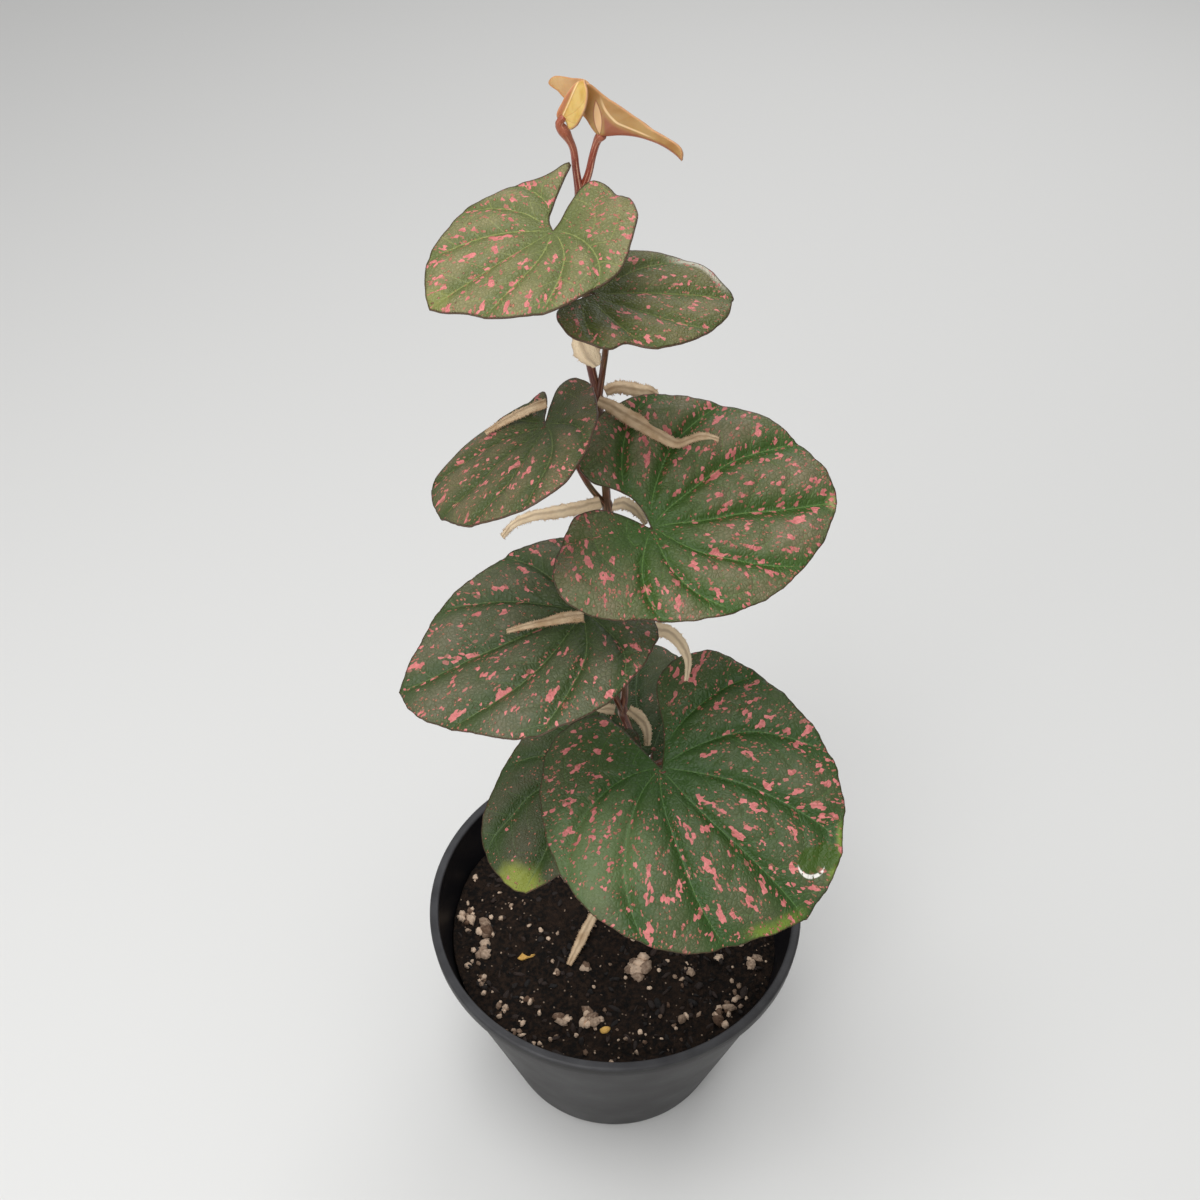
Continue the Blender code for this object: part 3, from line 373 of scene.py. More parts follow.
class Graph:
    """A new material and short calls that add linked nodes to it."""

    def __init__(self, name):
        self.material = bpy.data.materials.new(name)
        self.material.use_nodes = True
        self.tree = self.material.node_tree
        self.shader = self.tree.nodes["Principled BSDF"]

    def feed(self, socket, value):
        if isinstance(value, Value):
            self.tree.links.new(value.socket, socket)
        elif socket.type == "RGBA":
            socket.default_value = (*value, 1.0)
        else:
            socket.default_value = value

    def surface(self, **inputs):
        """Feeds the shader's own sockets: base_color means Base Color."""
        for name, value in inputs.items():
            self.feed(self.shader.inputs[name.replace("_", " ").title().replace("Ior", "IOR")], value)

    def node(self, kind, *inputs, **settings):
        node = self.tree.nodes.new("ShaderNode" + kind)
        for name, value in settings.items():
            setattr(node, name, value)
        for socket, value in zip(node.inputs, inputs):
            if value is not None:
                self.feed(socket, value)
        return node

    def add(self, kind, *inputs, output=0, **settings):
        return Value(self, self.node(kind, *inputs, **settings).outputs[output])

    def math(self, operation, *values):
        return self.add("Math", *values, operation=operation)

    def mix(self, factor, first, second):
        node = self.node("Mix", factor, data_type="RGBA")
        colours = [socket for socket in node.inputs if socket.type == "RGBA"]
        self.feed(colours[0], first)
        self.feed(colours[1], second)
        return Value(self, next(socket for socket in node.outputs if socket.type == "RGBA"))

    def attribute(self, name):
        """The three numbers that each point carries under this name."""
        return self.split(self.add("Attribute", attribute_name=name, output="Vector"))

    def split(self, vector):
        return [Value(self, socket) for socket in self.node("SeparateXYZ", vector).outputs]

    def join(self, x, y, z):
        return self.add("CombineXYZ", x, y, z)

    def place(self):
        """The place on the object, in millimetres."""
        where = self.add("TexCoord", output="Object")
        return self.add("VectorMath", where, (1 / MM,) * 3, operation="MULTIPLY")

    def noise(self, vector, size, detail=2.0):
        """Noise in 0 to 1 whose lumps are about `size` across."""
        node = self.node("TexNoise", vector)
        node.inputs["Scale"].default_value = 1 / size
        node.inputs["Detail"].default_value = detail
        return Value(self, node.outputs[0])

    def cells(self, vector, size, feature="F1"):
        node = self.node("TexVoronoi", vector, feature=feature)
        node.inputs["Scale"].default_value = 1 / size
        return {socket.name: Value(self, socket) for socket in node.outputs}

    def bump(self, height, distance):
        """A height from 0 to 1 that stands `distance` millimetres proud."""
        node = self.tree.nodes.new("ShaderNodeBump")
        node.inputs["Distance"].default_value = distance * MM
        node.inputs["Strength"].default_value = 1.0
        self.feed(node.inputs["Height"], height)
        self.tree.links.new(node.outputs[0], self.shader.inputs["Normal"])


class BladeGraph(Graph):
    """A material of a blade's upper or lower face, with the coordinates that the blade carries."""

    def __init__(self, name, upper):
        super().__init__(f"{name}_{'upper' if upper else 'lower'}")
        self.x, self.y, self.margin = self.attribute("blade")
        self.reach, self.sector, gap = self.attribute("veins")
        self.flat = self.join(self.x, self.y, 0.0)
        self.near = abs(self.math("FRACT", self.sector + 0.5) - 0.5)
        self.vein = self.near * gap

    def away(self, x, y):
        """The distance from a point of the flat blade."""
        return self.add("VectorMath", self.flat, (x, y, 0.0), operation="DISTANCE", output="Value")


def smooth(value, low, high):
    """0 below `low`, 1 above `high` and a soft step between them."""
    t = np.clip((value - low) / (high - low), 0.0, 1.0)
    return t * t * (3 - 2 * t)


def waves(x, y, size, seed):
    """Smooth noise, mostly in -1 to 1, whose lumps are about `size` across."""
    draw = np.random.default_rng(seed)
    total = np.zeros(np.shape(x))
    for _ in range(WAVE_COUNT):
        angle = draw.uniform(0, math.tau)
        rate = math.tau / size * draw.uniform(0.4, 1.1)
        total = total + np.sin(rate * (x * math.cos(angle) + y * math.sin(angle)) + draw.uniform(0, math.tau))
    return total / 4


def add_attribute(mesh, name, *columns):
    values = np.stack(np.broadcast_arrays(*columns), axis=-1)
    layer = mesh.attributes.new(name, "FLOAT_VECTOR", "POINT")
    layer.data.foreach_set("vector", values.astype(np.float32).ravel())


def new_object(name, data):
    obj = bpy.data.objects.new(name, data)
    bpy.context.scene.collection.objects.link(obj)
    return obj


def new_mesh(name, points, faces):
    """A smooth mesh object; the points are in millimetres."""
    mesh = bpy.data.meshes.new(name)
    mesh.from_pydata((np.asarray(points) * MM).tolist(), [], faces)
    mesh.shade_smooth()
    return new_object(name, mesh)


def grid_faces(rows, columns, closed):
    """Quads between neighbouring rows of points; a closed row is a ring."""
    faces = []
    for row in range(rows - 1):
        for column in range(columns if closed else columns - 1):
            a, b = row * columns + column, row * columns + (column + 1) % columns
            faces.append((a, b, b + columns, a + columns))
    return faces


def paint(obj, *materials):
    for material in materials:
        obj.data.materials.append(material)


def thicken(obj, thickness, offset):
    """Gives a sheet its thickness, in millimetres, inwards for -1 and both ways for 0."""
    modifier = obj.modifiers.new("thickness", "SOLIDIFY")
    modifier.thickness = thickness * MM
    modifier.offset = offset
    return modifier


def stand_for(obj, node):
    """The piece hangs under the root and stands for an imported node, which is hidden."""
    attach(obj, "root")
    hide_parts(node)


def spline(points, steps):
    """Points read from a Catmull-Rom curve through `points`, `steps` to each stretch."""
    points = np.asarray(points, float)
    padded = np.vstack([2 * points[0] - points[1], points, 2 * points[-1] - points[-2]])
    t = (np.arange(steps) / steps)[:, None]
    found = []
    for a, b, c, d in zip(padded, padded[1:], padded[2:], padded[3:]):
        found.append(0.5 * (2 * b + (c - a) * t + (2 * a - 5 * b + 4 * c - d) * t**2
                            + (3 * b - a - 3 * c + d) * t**3))
    return np.vstack([*found, points[-1:]])


def distances_along(points):
    return np.concatenate([[0.0], np.cumsum(np.linalg.norm(np.diff(points, axis=0), axis=1))])


def even_spacing(points, spacing):
    """Points at equal distances of about `spacing` along the polyline."""
    lengths = distances_along(points)
    count = max(int(round(lengths[-1] / spacing)), 2)
    targets = np.linspace(0, lengths[-1], count + 1)
    return np.stack([np.interp(targets, lengths, column) for column in points.T], axis=-1)


def leaf_frame(leaf):
    """The midrib, left and upward directions of a blade."""
    azimuth, pitch, roll = (math.radians(leaf[key]) for key in ("azimuth", "pitch", "roll"))
    level = math.cos(pitch)
    midrib = np.array([math.cos(azimuth) * level, math.sin(azimuth) * level, -math.sin(pitch)])
    level_left = np.array([-math.sin(azimuth), math.cos(azimuth), 0.0])
    level_up = np.cross(midrib, level_left)
    left = level_left * math.cos(roll) + level_up * math.sin(roll)
    up = level_up * math.cos(roll) - level_left * math.sin(roll)
    return midrib, left, up


def leaf_points(leaf, x, y, relief=0.0):
    """Where the points (x, y) of the flat blade lie once the blade is bent, in millimetres."""
    x, y = np.asarray(x, float), np.asarray(y, float)
    length = leaf["length"]
    fold = math.radians(leaf["fold"])
    side = np.where(y > 0, 0, 1)
    out = np.abs(y)
    turn = np.radians(np.array(leaf["curl"], float))[side] * out / length
    turn = np.where(np.abs(turn) < 1e-6, 1e-6, turn)
    across = out * np.sin(turn) / turn
    sag = out * (1 - np.cos(turn)) / turn
    soft = 0.05 * length
    rise = (np.hypot(out, soft) - soft) * math.sin(fold) - sag * math.cos(fold)
    back = np.maximum(-x, 0.0) / (0.6 * length)
    lift = np.array(leaf.get("lift", (0, 0)), float)[side]
    rise = rise + lift * back**2 * np.minimum(out / (0.2 * length), 1.0) + relief
    along = x
    droop = math.radians(leaf["droop"]) / length
    if droop:
        radius = 1 / droop
        bent = droop * np.maximum(x, 0.0)
        along = np.where(x > 0, (radius + rise) * np.sin(bent), x)
        rise = np.where(x > 0, (radius + rise) * np.cos(bent) - radius, rise)
    midrib, left, up = leaf_frame(leaf)
    sideways = np.copysign(across * math.cos(fold), y)
    return (np.array(leaf["at"]) + midrib * along[..., None] + left * sideways[..., None]
            + up * rise[..., None])


def leaf_outline(leaf, spacing, seed):
    """The blade's flat outline from the tip round to the tip, a little uneven as a real margin is."""
    left, right = (even_spacing(spline([leaf["tip"], *leaf[side], (0, 0)], 24), spacing)
                   for side in ("left", "right"))
    outline = np.vstack([left, right[-2:0:-1]])
    along = np.arange(len(outline)) * spacing
    from_stalk = np.linalg.norm(outline, axis=1)
    uneven = waves(along, 0 * along, 5.0, seed) + 0.6 * waves(along, 0 * along, 1.9, seed + 3)
    uneven = 0.005 * leaf["length"] * uneven * smooth(from_stalk, 2, 8)
    return outline + outline / np.maximum(from_stalk, 1.0)[:, None] * uneven[:, None]


def inside(points, outline):
    """Which points are in the outline, by counting crossings."""
    a, b = outline, np.roll(outline, -1, axis=0)
    x, y = points[:, :1], points[:, 1:]
    crosses = (a[:, 1] > y) != (b[:, 1] > y)
    rise = np.where(b[:, 1] == a[:, 1], 1.0, b[:, 1] - a[:, 1])
    at = a[:, 0] + (y - a[:, 1]) / rise * (b[:, 0] - a[:, 0])
    return (crosses & (x < at)).sum(axis=1) % 2 == 1


def to_margin(points, outline):
    """How far each point is from the margin."""
    run = np.roll(outline, -1, axis=0) - outline
    t = ((points[:, None] - outline) * run).sum(-1) / np.maximum((run**2).sum(-1), 1e-12)
    nearest = outline + np.clip(t, 0, 1)[..., None] * run
    return np.linalg.norm(points[:, None] - nearest, axis=-1).min(axis=1)


def leaf_triangles(leaf, spacing, seed):
    """The flat blade's points, triangles and distances to the margin."""
    outline = leaf_outline(leaf, spacing, seed)
    reach = int(1.5 * leaf["length"] / spacing)
    rows, columns = np.meshgrid(np.arange(-reach, reach + 1), np.arange(-reach, reach + 1), indexing="ij")
    row_step = spacing * math.sqrt(3) / 2
    grid = np.stack([(columns + 0.5 * (rows % 2)) * spacing, rows * row_step], axis=-1).reshape(-1, 2)
    low, high = outline.min(axis=0), outline.max(axis=0)
    grid = grid[((grid > low) & (grid < high)).all(axis=1)]
    grid = grid[inside(grid, outline)]
    grid = grid[to_margin(grid, outline) > 0.6 * spacing]
    points = np.vstack([outline, grid])
    edges = [(index, (index + 1) % len(outline)) for index in range(len(outline))]
    found = geometry.delaunay_2d_cdt([Vector(point) for point in points], edges, [], 1, 1e-6)
    flat = np.array([tuple(point) for point in found[0]])
    return flat, found[2], to_margin(flat, outline)


def vein_coordinates(leaf, x, y, seed):
    """Distance from the stalk, the place among the main veins (0 on the midrib) and the gap between them."""
    length = leaf["length"]
    u = x + 0.012 * length * waves(x, y, 0.4 * length, seed)
    v = y + 0.012 * length * waves(x, y, 0.4 * length, seed + 1)
    reach = np.hypot(u, v)
    bend = 1 - VEIN_BEND * np.minimum(reach / length, 1.0)
    angle = np.degrees(np.arctan2(np.abs(v), u)) / bend
    sector = np.clip(np.copysign(angle / VEIN_ANGLE, v), -MAIN_VEINS / 2, MAIN_VEINS / 2)
    return reach, sector, math.radians(VEIN_ANGLE) * bend * reach


def blade_relief(leaf, look, x, y, reach, sector, gap, margin):
    """The blade swells between its veins, which lie in grooves, and its margin waves."""
    length = leaf["length"]
    near = np.abs(sector - np.round(sector))
    inner = smooth(margin, 0, 0.13 * length)
    swell = look["swell"] * 0.03 * length * (1 - (1 - 2 * near) ** 2)
    swell = swell * smooth(reach, 0.04 * length, 0.45 * length) * (0.25 + 0.75 * inner)
    groove = -0.006 * length * np.exp(-(near * gap / 0.6) ** 2) * smooth(reach, 0, 0.1 * length)
    ladder = SIDE_VEINS * reach / length - SIDE_SLANT * near
    rung = np.abs(2 * (ladder - np.floor(ladder)) - 1)
    side = look["swell"] * 0.012 * length * (1 - rung**3) * smooth(near, 0.02, 0.2) * inner
    wave = 0.012 * length * waves(x, y, 0.35 * length, look["seed"] + 5)
    wave = wave * (1 - smooth(margin, 0, 0.2 * length))
    relief = swell + groove + side + wave - 0.012 * length
    if "roll" in look:
        roll_x, roll_y, size, height = look["roll"]
        turned = np.exp(-((x - roll_x) ** 2 + (y - roll_y) ** 2) / size**2)
        relief = relief + height * turned * smooth(-margin, -4.0, 0.0)
    return relief


def flecked(graph, look, length, base):
    """Angular pink flecks, few near the stalk, and specks that crowd at the margin."""
    lane = graph.math("FLOOR", graph.sector)
    turn = lane * -LANE_ANGLE - LANE_ANGLE / 2
    turned = graph.add("VectorRotate", graph.flat, None, None, turn, rotation_type="Z_AXIS")
    shift = graph.join(lane * LANE_SHIFT + look["seed"], look["seed"], 0.0)
    stretched = graph.add("VectorMath", turned, FLECK_STRETCH, shift, operation="MULTIPLY_ADD")
    scale = 0.6 + 0.009 * length
    cell = graph.cells(stretched, FLECK_CELL * scale)
    random = graph.split(cell["Color"])
    scatter = random[0] * FLECK_SCATTER + graph.noise(cell["Position"], FLECK_CLUSTER * scale, 1.5)
    level = graph.reach.ramp(0.35 * length, 0.06 * length) * 0.12 + (0.8 - 0.16 * look["flecks"])
    fleck = (scatter - level).ramp(0.0, 0.012)
    small = graph.cells(stretched, BIT_CELL * scale)
    patch = graph.noise(small["Position"], BIT_CLUSTER * scale, 1.0)
    patch = graph.split(small["Color"])[0] * FLECK_SCATTER + patch
    bits = (patch - (level + 0.035)).ramp(0.0, 0.02)
    grain = graph.cells(stretched, SPECK_CELL)
    chance = graph.split(grain["Color"])
    rare = graph.noise(graph.flat, 4.0, 1.5) * 2.0 + chance[1] + graph.margin.ramp(4.0, 0.5) * 0.12
    dot = rare.ramp(1.96, 1.97)
    apart = grain["Distance"] * (chance[0] * 0.9 + 0.7)
    tone = random[1] * 0.4 + graph.noise(graph.flat, 1.3) * 0.6
    colour = graph.mix(dot * apart.ramp(0.48, 0.38) * 0.7, base, SPECK_RIM)
    colour = graph.mix(dot * apart.ramp(0.34, 0.24), colour, SPECK_MIDDLE)
    colour = graph.mix(bits * 0.85, colour, BIT_PINK)
    return graph.mix(fleck, colour, graph.mix(tone, *FLECK_PINKS))


def pocketed(graph, pocket, base):
    """A yellow-green hollow behind the turned-up margin, with a painted highlight, a pale crescent, along its
    lower side.
    """
    x, y, size = pocket
    lower = graph.away(x + 0.4, y - 0.4)
    higher = graph.away(x - 0.35, y + 0.35)
    outer = graph.away(x + 0.9, y + 3.4)
    uneven = graph.noise(graph.flat, 1.6, 3.0) * 1.6 + graph.math("MINIMUM", higher, outer)
    hollow = uneven.ramp(size + 1.2, size + 0.5) * 0.88
    # Painted highlight: the pale crescent along the hollow's lower side, patchy along its length.
    painted_highlight = lower.ramp(size + 0.1, size - 0.15) * higher.ramp(size, size + 0.3)
    painted_highlight = painted_highlight * graph.noise(graph.flat, 0.8).ramp(0.32, 0.46)
    return graph.mix(painted_highlight * 0.92, graph.mix(hollow, base, POCKET_GREEN), POCKET_HIGHLIGHT)


def blade_material(name, leaf, look, upper):
    """The upper or the lower face of a grown blade."""
    graph = BladeGraph(name, upper)
    length = leaf["length"]
    green, pale = look["green"], look["pale"]
    ladder = graph.math("FRACT", graph.reach * (SIDE_VEINS / length) - graph.near * SIDE_SLANT)
    rung = graph.math("PINGPONG", ladder, 0.5) * (length / SIDE_VEINS)
    blotch = graph.noise(graph.flat, 0.25 * length, 3.0).ramp(0.35, 0.62)
    # Painted sheen: the raised parts between the veins take the paler, greyer colour, the random blotches
    # varying how much.
    swell = graph.near.ramp(0.02, 0.4) * graph.reach.ramp(0.05 * length, 0.5 * length)
    colour = graph.mix(swell * (blotch * 0.6 + 0.4), green, pale)
    net = graph.cells(graph.flat, 0.016 * length + 0.25, "DISTANCE_TO_EDGE")["Distance"]
    colour = graph.mix(net.ramp(0.12, 0.0) * 0.45, colour, tuple(0.65 * part for part in green))
    light = tuple(min(scale * part + 0.015, 1.0) for scale, part in zip((2.2, 2.0, 1.9), green))
    colour = graph.mix(rung.ramp(0.16, 0.04) * 0.42, colour, light)
    # Marks of another colour, each a soft patch in from the margin; some of them are painted light.
    for mark_x, mark_y, size, depth, tint, strength in look.get("marks", ()):
        uneven = graph.noise(graph.flat, 4.0, 3.0) * (0.5 * size) + graph.away(mark_x, mark_y)
        spot = uneven.ramp(1.15 * size, 0.55 * size) * graph.margin.ramp(depth, 0.3 * depth)
        colour = graph.mix(spot * strength, colour, tint)
    # Painted sheen: pale specks on the raised parts.
    stipple = graph.cells(graph.flat, 0.42)
    shine = stipple["Distance"].ramp(0.34, 0.12) * graph.split(stipple["Color"])[0].ramp(0.45, 0.9)
    colour = graph.mix(shine * swell * 0.4, colour, tuple(1.7 * part + 0.06 for part in pale))
    if upper:
        colour = flecked(graph, look, length, colour)
    else:
        colour = graph.mix(graph.noise(graph.flat, 3.0).ramp(0.6, 0.7), colour, LOWER_BLOTCH)
    if "pocket" in look:
        colour = pocketed(graph, look["pocket"], colour)
    thin = graph.vein.ramp(0.17, 0.05) * graph.margin.ramp(0.4, 3.0)
    colour = graph.mix(thin * 0.7, colour, light)
    colour = graph.mix(graph.margin.ramp(0.35, 0.08) * 0.8, colour, BLADE_HEM)
    if not upper:
        colour = graph.mix(0.5, colour, LOWER_GREY)
    pores = graph.noise(graph.flat, 0.28, 3.0)
    graph.surface(base_color=colour, specular_ior_level=0.33)
    graph.surface(roughness=pores * 0.16 + (0.36 if upper else 0.55))
    graph.bump(net.ramp(0.0, 0.3) * 0.6 + pores * 0.5, 0.15 if upper else 0.2)
    return graph.material


def ridged(graph, side, base):
    """The lower face of a young blade: a red flush, a bright fold line and a ridge with a pale rib."""
    off_fold = (graph.x * side - FOLD_PRODUCT) / graph.reach
    off_ridge = side * -0.1 + graph.x
    past_ridge = off_ridge.ramp(0.4, 1.2)
    colour = graph.mix(past_ridge * off_fold.ramp(0.0, -1.2) * 0.8, base, YOUNG_RED)
    line = abs(off_fold).ramp(0.24, 0.08) * past_ridge * graph.x.ramp(10.0, 7.0)
    colour = graph.mix(line * 0.6, colour, FOLD_LINE)
    inside_ridge = graph.math("SINE", side * (math.pi / RIDGE_LENGTH)) * 0.75 - abs(off_ridge)
    ridge = inside_ridge.ramp(0.0, 0.2) * side.ramp(RIDGE_LENGTH, RIDGE_LENGTH - 0.6)
    rib = graph.mix(inside_ridge.ramp(0.15, 0.3), YOUNG_RED, PALE_RIB)
    return graph.mix(ridge * 0.8, colour, rib)


def young_material(name, leaf, look, upper):
    """A young blade is smooth and waxy, reddish where it folds."""
    graph = BladeGraph(name, upper)
    blotch = graph.noise(graph.flat, 0.35 * leaf["length"], 3.0)
    colour = graph.mix(blotch.ramp(0.35, 0.65), look["green"], look["pale"])
    colour = graph.mix(graph.vein.ramp(0.11, 0.03) * 0.35, colour, (0.42, 0.2, 0.05))
    side = abs(graph.y)
    if not upper:
        colour = ridged(graph, side, colour)
    keel = graph.y.ramp(0.3, 0.6) if look["edged"] else side.ramp(0.55, 0.15)
    colour = graph.mix(keel * 0.75, colour, (0.42, 0.13, 0.08))
    if look["edged"]:
        colour = graph.mix(abs(graph.y - 0.25).ramp(0.16, 0.05) * 0.6, colour, (1.0, 0.75, 0.45))
    colour = graph.mix(graph.margin.ramp(0.28, 0.08) * 0.6, colour, (0.55, 0.26, 0.12))
    graph.surface(base_color=colour, roughness=0.42, specular_ior_level=0.4)
    graph.bump(graph.noise(graph.flat, 0.5), 0.03)
    graph.surface(subsurface_weight=0.3, subsurface_scale=1.0, subsurface_radius=(0.0012, 0.0006, 0.0002))
    return graph.material


def rim_material(name, young):
    """The cut edge between a blade's faces."""
    graph = Graph(name)
    dark, bright = YOUNG_RIM if young else BLADE_RIM
    graph.surface(base_color=graph.mix(graph.noise(graph.place(), 2.0), dark, bright), roughness=0.5)
    return graph.material


def build_leaf(name, leaf):
    look = LOOKS[name]
    young = name in YOUNG_PETIOLES
    flat, faces, margin = leaf_triangles(leaf, YOUNG_GRID if young else BLADE_GRID, look["seed"])
    x, y = flat.T
    reach, sector, gap = vein_coordinates(leaf, x, y, look["seed"])
    relief = blade_relief(leaf, look, x, y, reach, sector, gap, margin)
    obj = new_mesh(name + "_blade", leaf_points(leaf, x, y, relief), faces)
    add_attribute(obj.data, "blade", x, y, margin)
    add_attribute(obj.data, "veins", reach, sector, gap)
    shading = young_material if young else blade_material
    upper, lower = (shading(name, leaf, look, side) for side in (True, False))
    paint(obj, upper, lower, rim_material(name + "_rim", young))
    thickness = thicken(obj, BLADE_THICKNESS, -1)
    thickness.material_offset = 1
    thickness.material_offset_rim = 2
    stand_for(obj, name)


def stem_at(height):
    """The point of the stem's axis at this height."""
    line = spline(STEM_ROUTE, 12)
    return np.array([np.interp(height, line[:, 2], line[:, axis]) for axis in range(3)])


def tube(route, radius_at, sides):
    """Rings round a route: points, faces, and the distance along and the turn at each point."""
    along = distances_along(route)
    ahead = np.gradient(route, axis=0)
    ahead /= np.linalg.norm(ahead, axis=1)[:, None]
    across = np.cross(ahead[0], [0.0, 1.0, 0.2])
    turn = np.linspace(0, math.tau, sides, endpoint=False)
    rings = []
    for centre, direction, radius in zip(route, ahead, radius_at(along, route)):
        across = across - direction * across.dot(direction)
        across /= np.linalg.norm(across)
        other = np.cross(direction, across)
        rings.append(centre + radius * (np.cos(turn)[:, None] * across + np.sin(turn)[:, None] * other))
    faces = grid_faces(len(route), sides, True)
    last = (len(route) - 1) * sides
    faces += [tuple(range(sides - 1, -1, -1)), tuple(range(last, last + sides))]
    return np.vstack(rings), faces, np.repeat(along, sides), np.tile(turn, len(route))


def stem_radius(along, route):
    """Swollen at the joints with a groove above each, slimmer towards the top."""
    height = route[:, 2]
    foot, top = STEM_ROUTE[0][2], STEM_ROUTE[-1][2]
    radii = STEM_RADIUS * (1 - STEM_TAPER * (height - foot) / (top - foot))
    for node in NODE_HEIGHTS:
        radii = radii + NODE_SWELLING * np.exp(-((height - node) / 1.5) ** 2)
        radii = radii - NODE_GROOVE * np.exp(-((height - node - 2.2) / 0.35) ** 2)
    return radii


def petiole_radius(slim, swelling):
    """A swollen foot, and a wider place near the top: how far below the top, how long and how much wider."""
    below, reach, wider = swelling

    def radius_at(along, route):
        foot = 0.55 * np.exp(-along / 2.2)
        return slim * (1 + foot + wider * np.exp(-((along[-1] - along - below) / reach) ** 2))
    return radius_at


def petiole_route(name, leaf):
    """A petiole follows the stem a little way, then arches out into the blade from below."""
    up = leaf_frame(leaf)[2]
    sink = 0.25 if name in YOUNG_PETIOLES else 0.15 + 0.018 * leaf["length"]
    end = leaf_points(leaf, np.array([0.3]), np.array([0.0]))[0] - sink * up
    if name in YOUNG_PETIOLES:
        return even_spacing(spline([*YOUNG_PETIOLES[name], end], 10), 0.5)
    under = end - up * 1.4
    return even_spacing(spline([stem_at(leaf["petiole_from"]), *leaf["via"], under, end], 16), 0.6)


def stem_material(name, red, streak, green):
    graph = Graph(name)
    along, turn = graph.attribute("tube")[:2]
    round_x, round_y = (graph.math(kind, turn) for kind in ("COSINE", "SINE"))
    stripe = graph.noise(graph.join(round_x * 1.2, round_y * 1.2, along * 0.06), 0.42, 4.0)
    patch = graph.noise(graph.place(), 9.0, 3.0)
    colour = graph.mix(patch.ramp(0.4, 0.75), red, green)
    colour = graph.mix(stripe.ramp(0.53, 0.62) * 0.75, colour, streak)
    dots = graph.cells(graph.join(round_x, round_y, along * 0.8), 0.3)
    colour = graph.mix(dots["Distance"].ramp(0.22, 0.1) * 0.35, colour, streak)
    graph.surface(base_color=colour, roughness=0.28, specular_ior_level=0.45)
    graph.bump(stripe * 0.8 + graph.noise(graph.place(), 0.5), 0.12)
    return graph.material


def build_stem():
    """The shoot and every petiole in one piece, which stands for the node of the shoot."""
    tubes = [(tube(even_spacing(spline(STEM_ROUTE, 16), 0.5), stem_radius, STEM_SIDES), 0)]
    for name, leaf in LEAVES.items():
        slim = PETIOLE_RADIUS if leaf["length"] > 30 else 0.9 * PETIOLE_RADIUS
        radius_at = petiole_radius(slim, YOUNG_SWELLINGS.get(name, PETIOLE_SWELLING))
        tubes.append((tube(petiole_route(name, leaf), radius_at, PETIOLE_SIDES), int(name in YOUNG_PETIOLES)))
    points, faces, kinds, alongs, turns = [], [], [], [], []
    start = 0
    for (ring_points, ring_faces, along, turn), kind in tubes:
        points.append(ring_points)
        faces += [tuple(start + corner for corner in face) for face in ring_faces]
        kinds += [kind] * len(ring_faces)
        alongs.append(along)
        turns.append(turn)
        start += len(ring_points)
    obj = new_mesh("shoot", np.vstack(points), faces)
    add_attribute(obj.data, "tube", np.concatenate(alongs), np.concatenate(turns), 0.0)
    paint(obj, stem_material("shoot", (0.12, 0.026, 0.016), (0.36, 0.16, 0.09), (0.08, 0.06, 0.022)),
          stem_material("young_stalks", (0.27, 0.05, 0.028), (0.9, 0.5, 0.33), (0.4, 0.13, 0.07)))
    obj.data.polygons.foreach_set("material_index", kinds)
    stand_for(obj, "stem")


def sheath_material():
    graph = Graph("dry_papery_sheath")
    along, across, tone = graph.attribute("strip")
    place = graph.place()
    fibre = graph.noise(graph.join(across * 2.2, along * 0.2, tone), 0.3, 4.0)
    light = tone + fibre * 0.3 + graph.noise(place, 2.6, 5.0) * 0.8 - 0.38
    colour = graph.mix(light.ramp(0.0, 1.0), (0.4, 0.22, 0.095), (1.0, 0.8, 0.55))
    # Painted shade: a soft brown line along the crease, where the paper folds.
    crease = abs(across + graph.noise(place, 2.5) * 0.6 - 0.36).ramp(0.4, 0.02)
    colour = graph.mix(crease * 0.42, colour, (0.22, 0.11, 0.05))
    colour = graph.mix(abs(across).ramp(0.6, 1.0) * 0.3, colour, (0.5, 0.3, 0.17))
    graph.surface(base_color=colour, roughness=0.85, specular_ior_level=0.2)
    graph.bump(fibre * 0.6 + graph.noise(place, 0.25, 3.0), 0.35)
    return graph.material


def edge_hairs(grid, across, tone, seed):
    """Thin triangles on both edges of a strip, fewer on pale paper: the corners, row and side of each."""
    draw = np.random.default_rng(seed)
    last = grid.shape[1] - 1
    for row in range(len(grid) - 1):
        for column, outward in ((0, -1), (last, 1)) * HAIRS_PER_STEP:
            if draw.random() < tone - 0.2:
                continue
            step = grid[row + 1, column] - grid[row, column]
            foot = grid[row, column] + draw.random() * step
            tip = foot + outward * draw.uniform(0.05, 0.36) * across[row] + draw.normal(0, 0.1, 3)
            yield np.array([foot - 0.2 * step, foot + 0.2 * step, tip]), row, outward


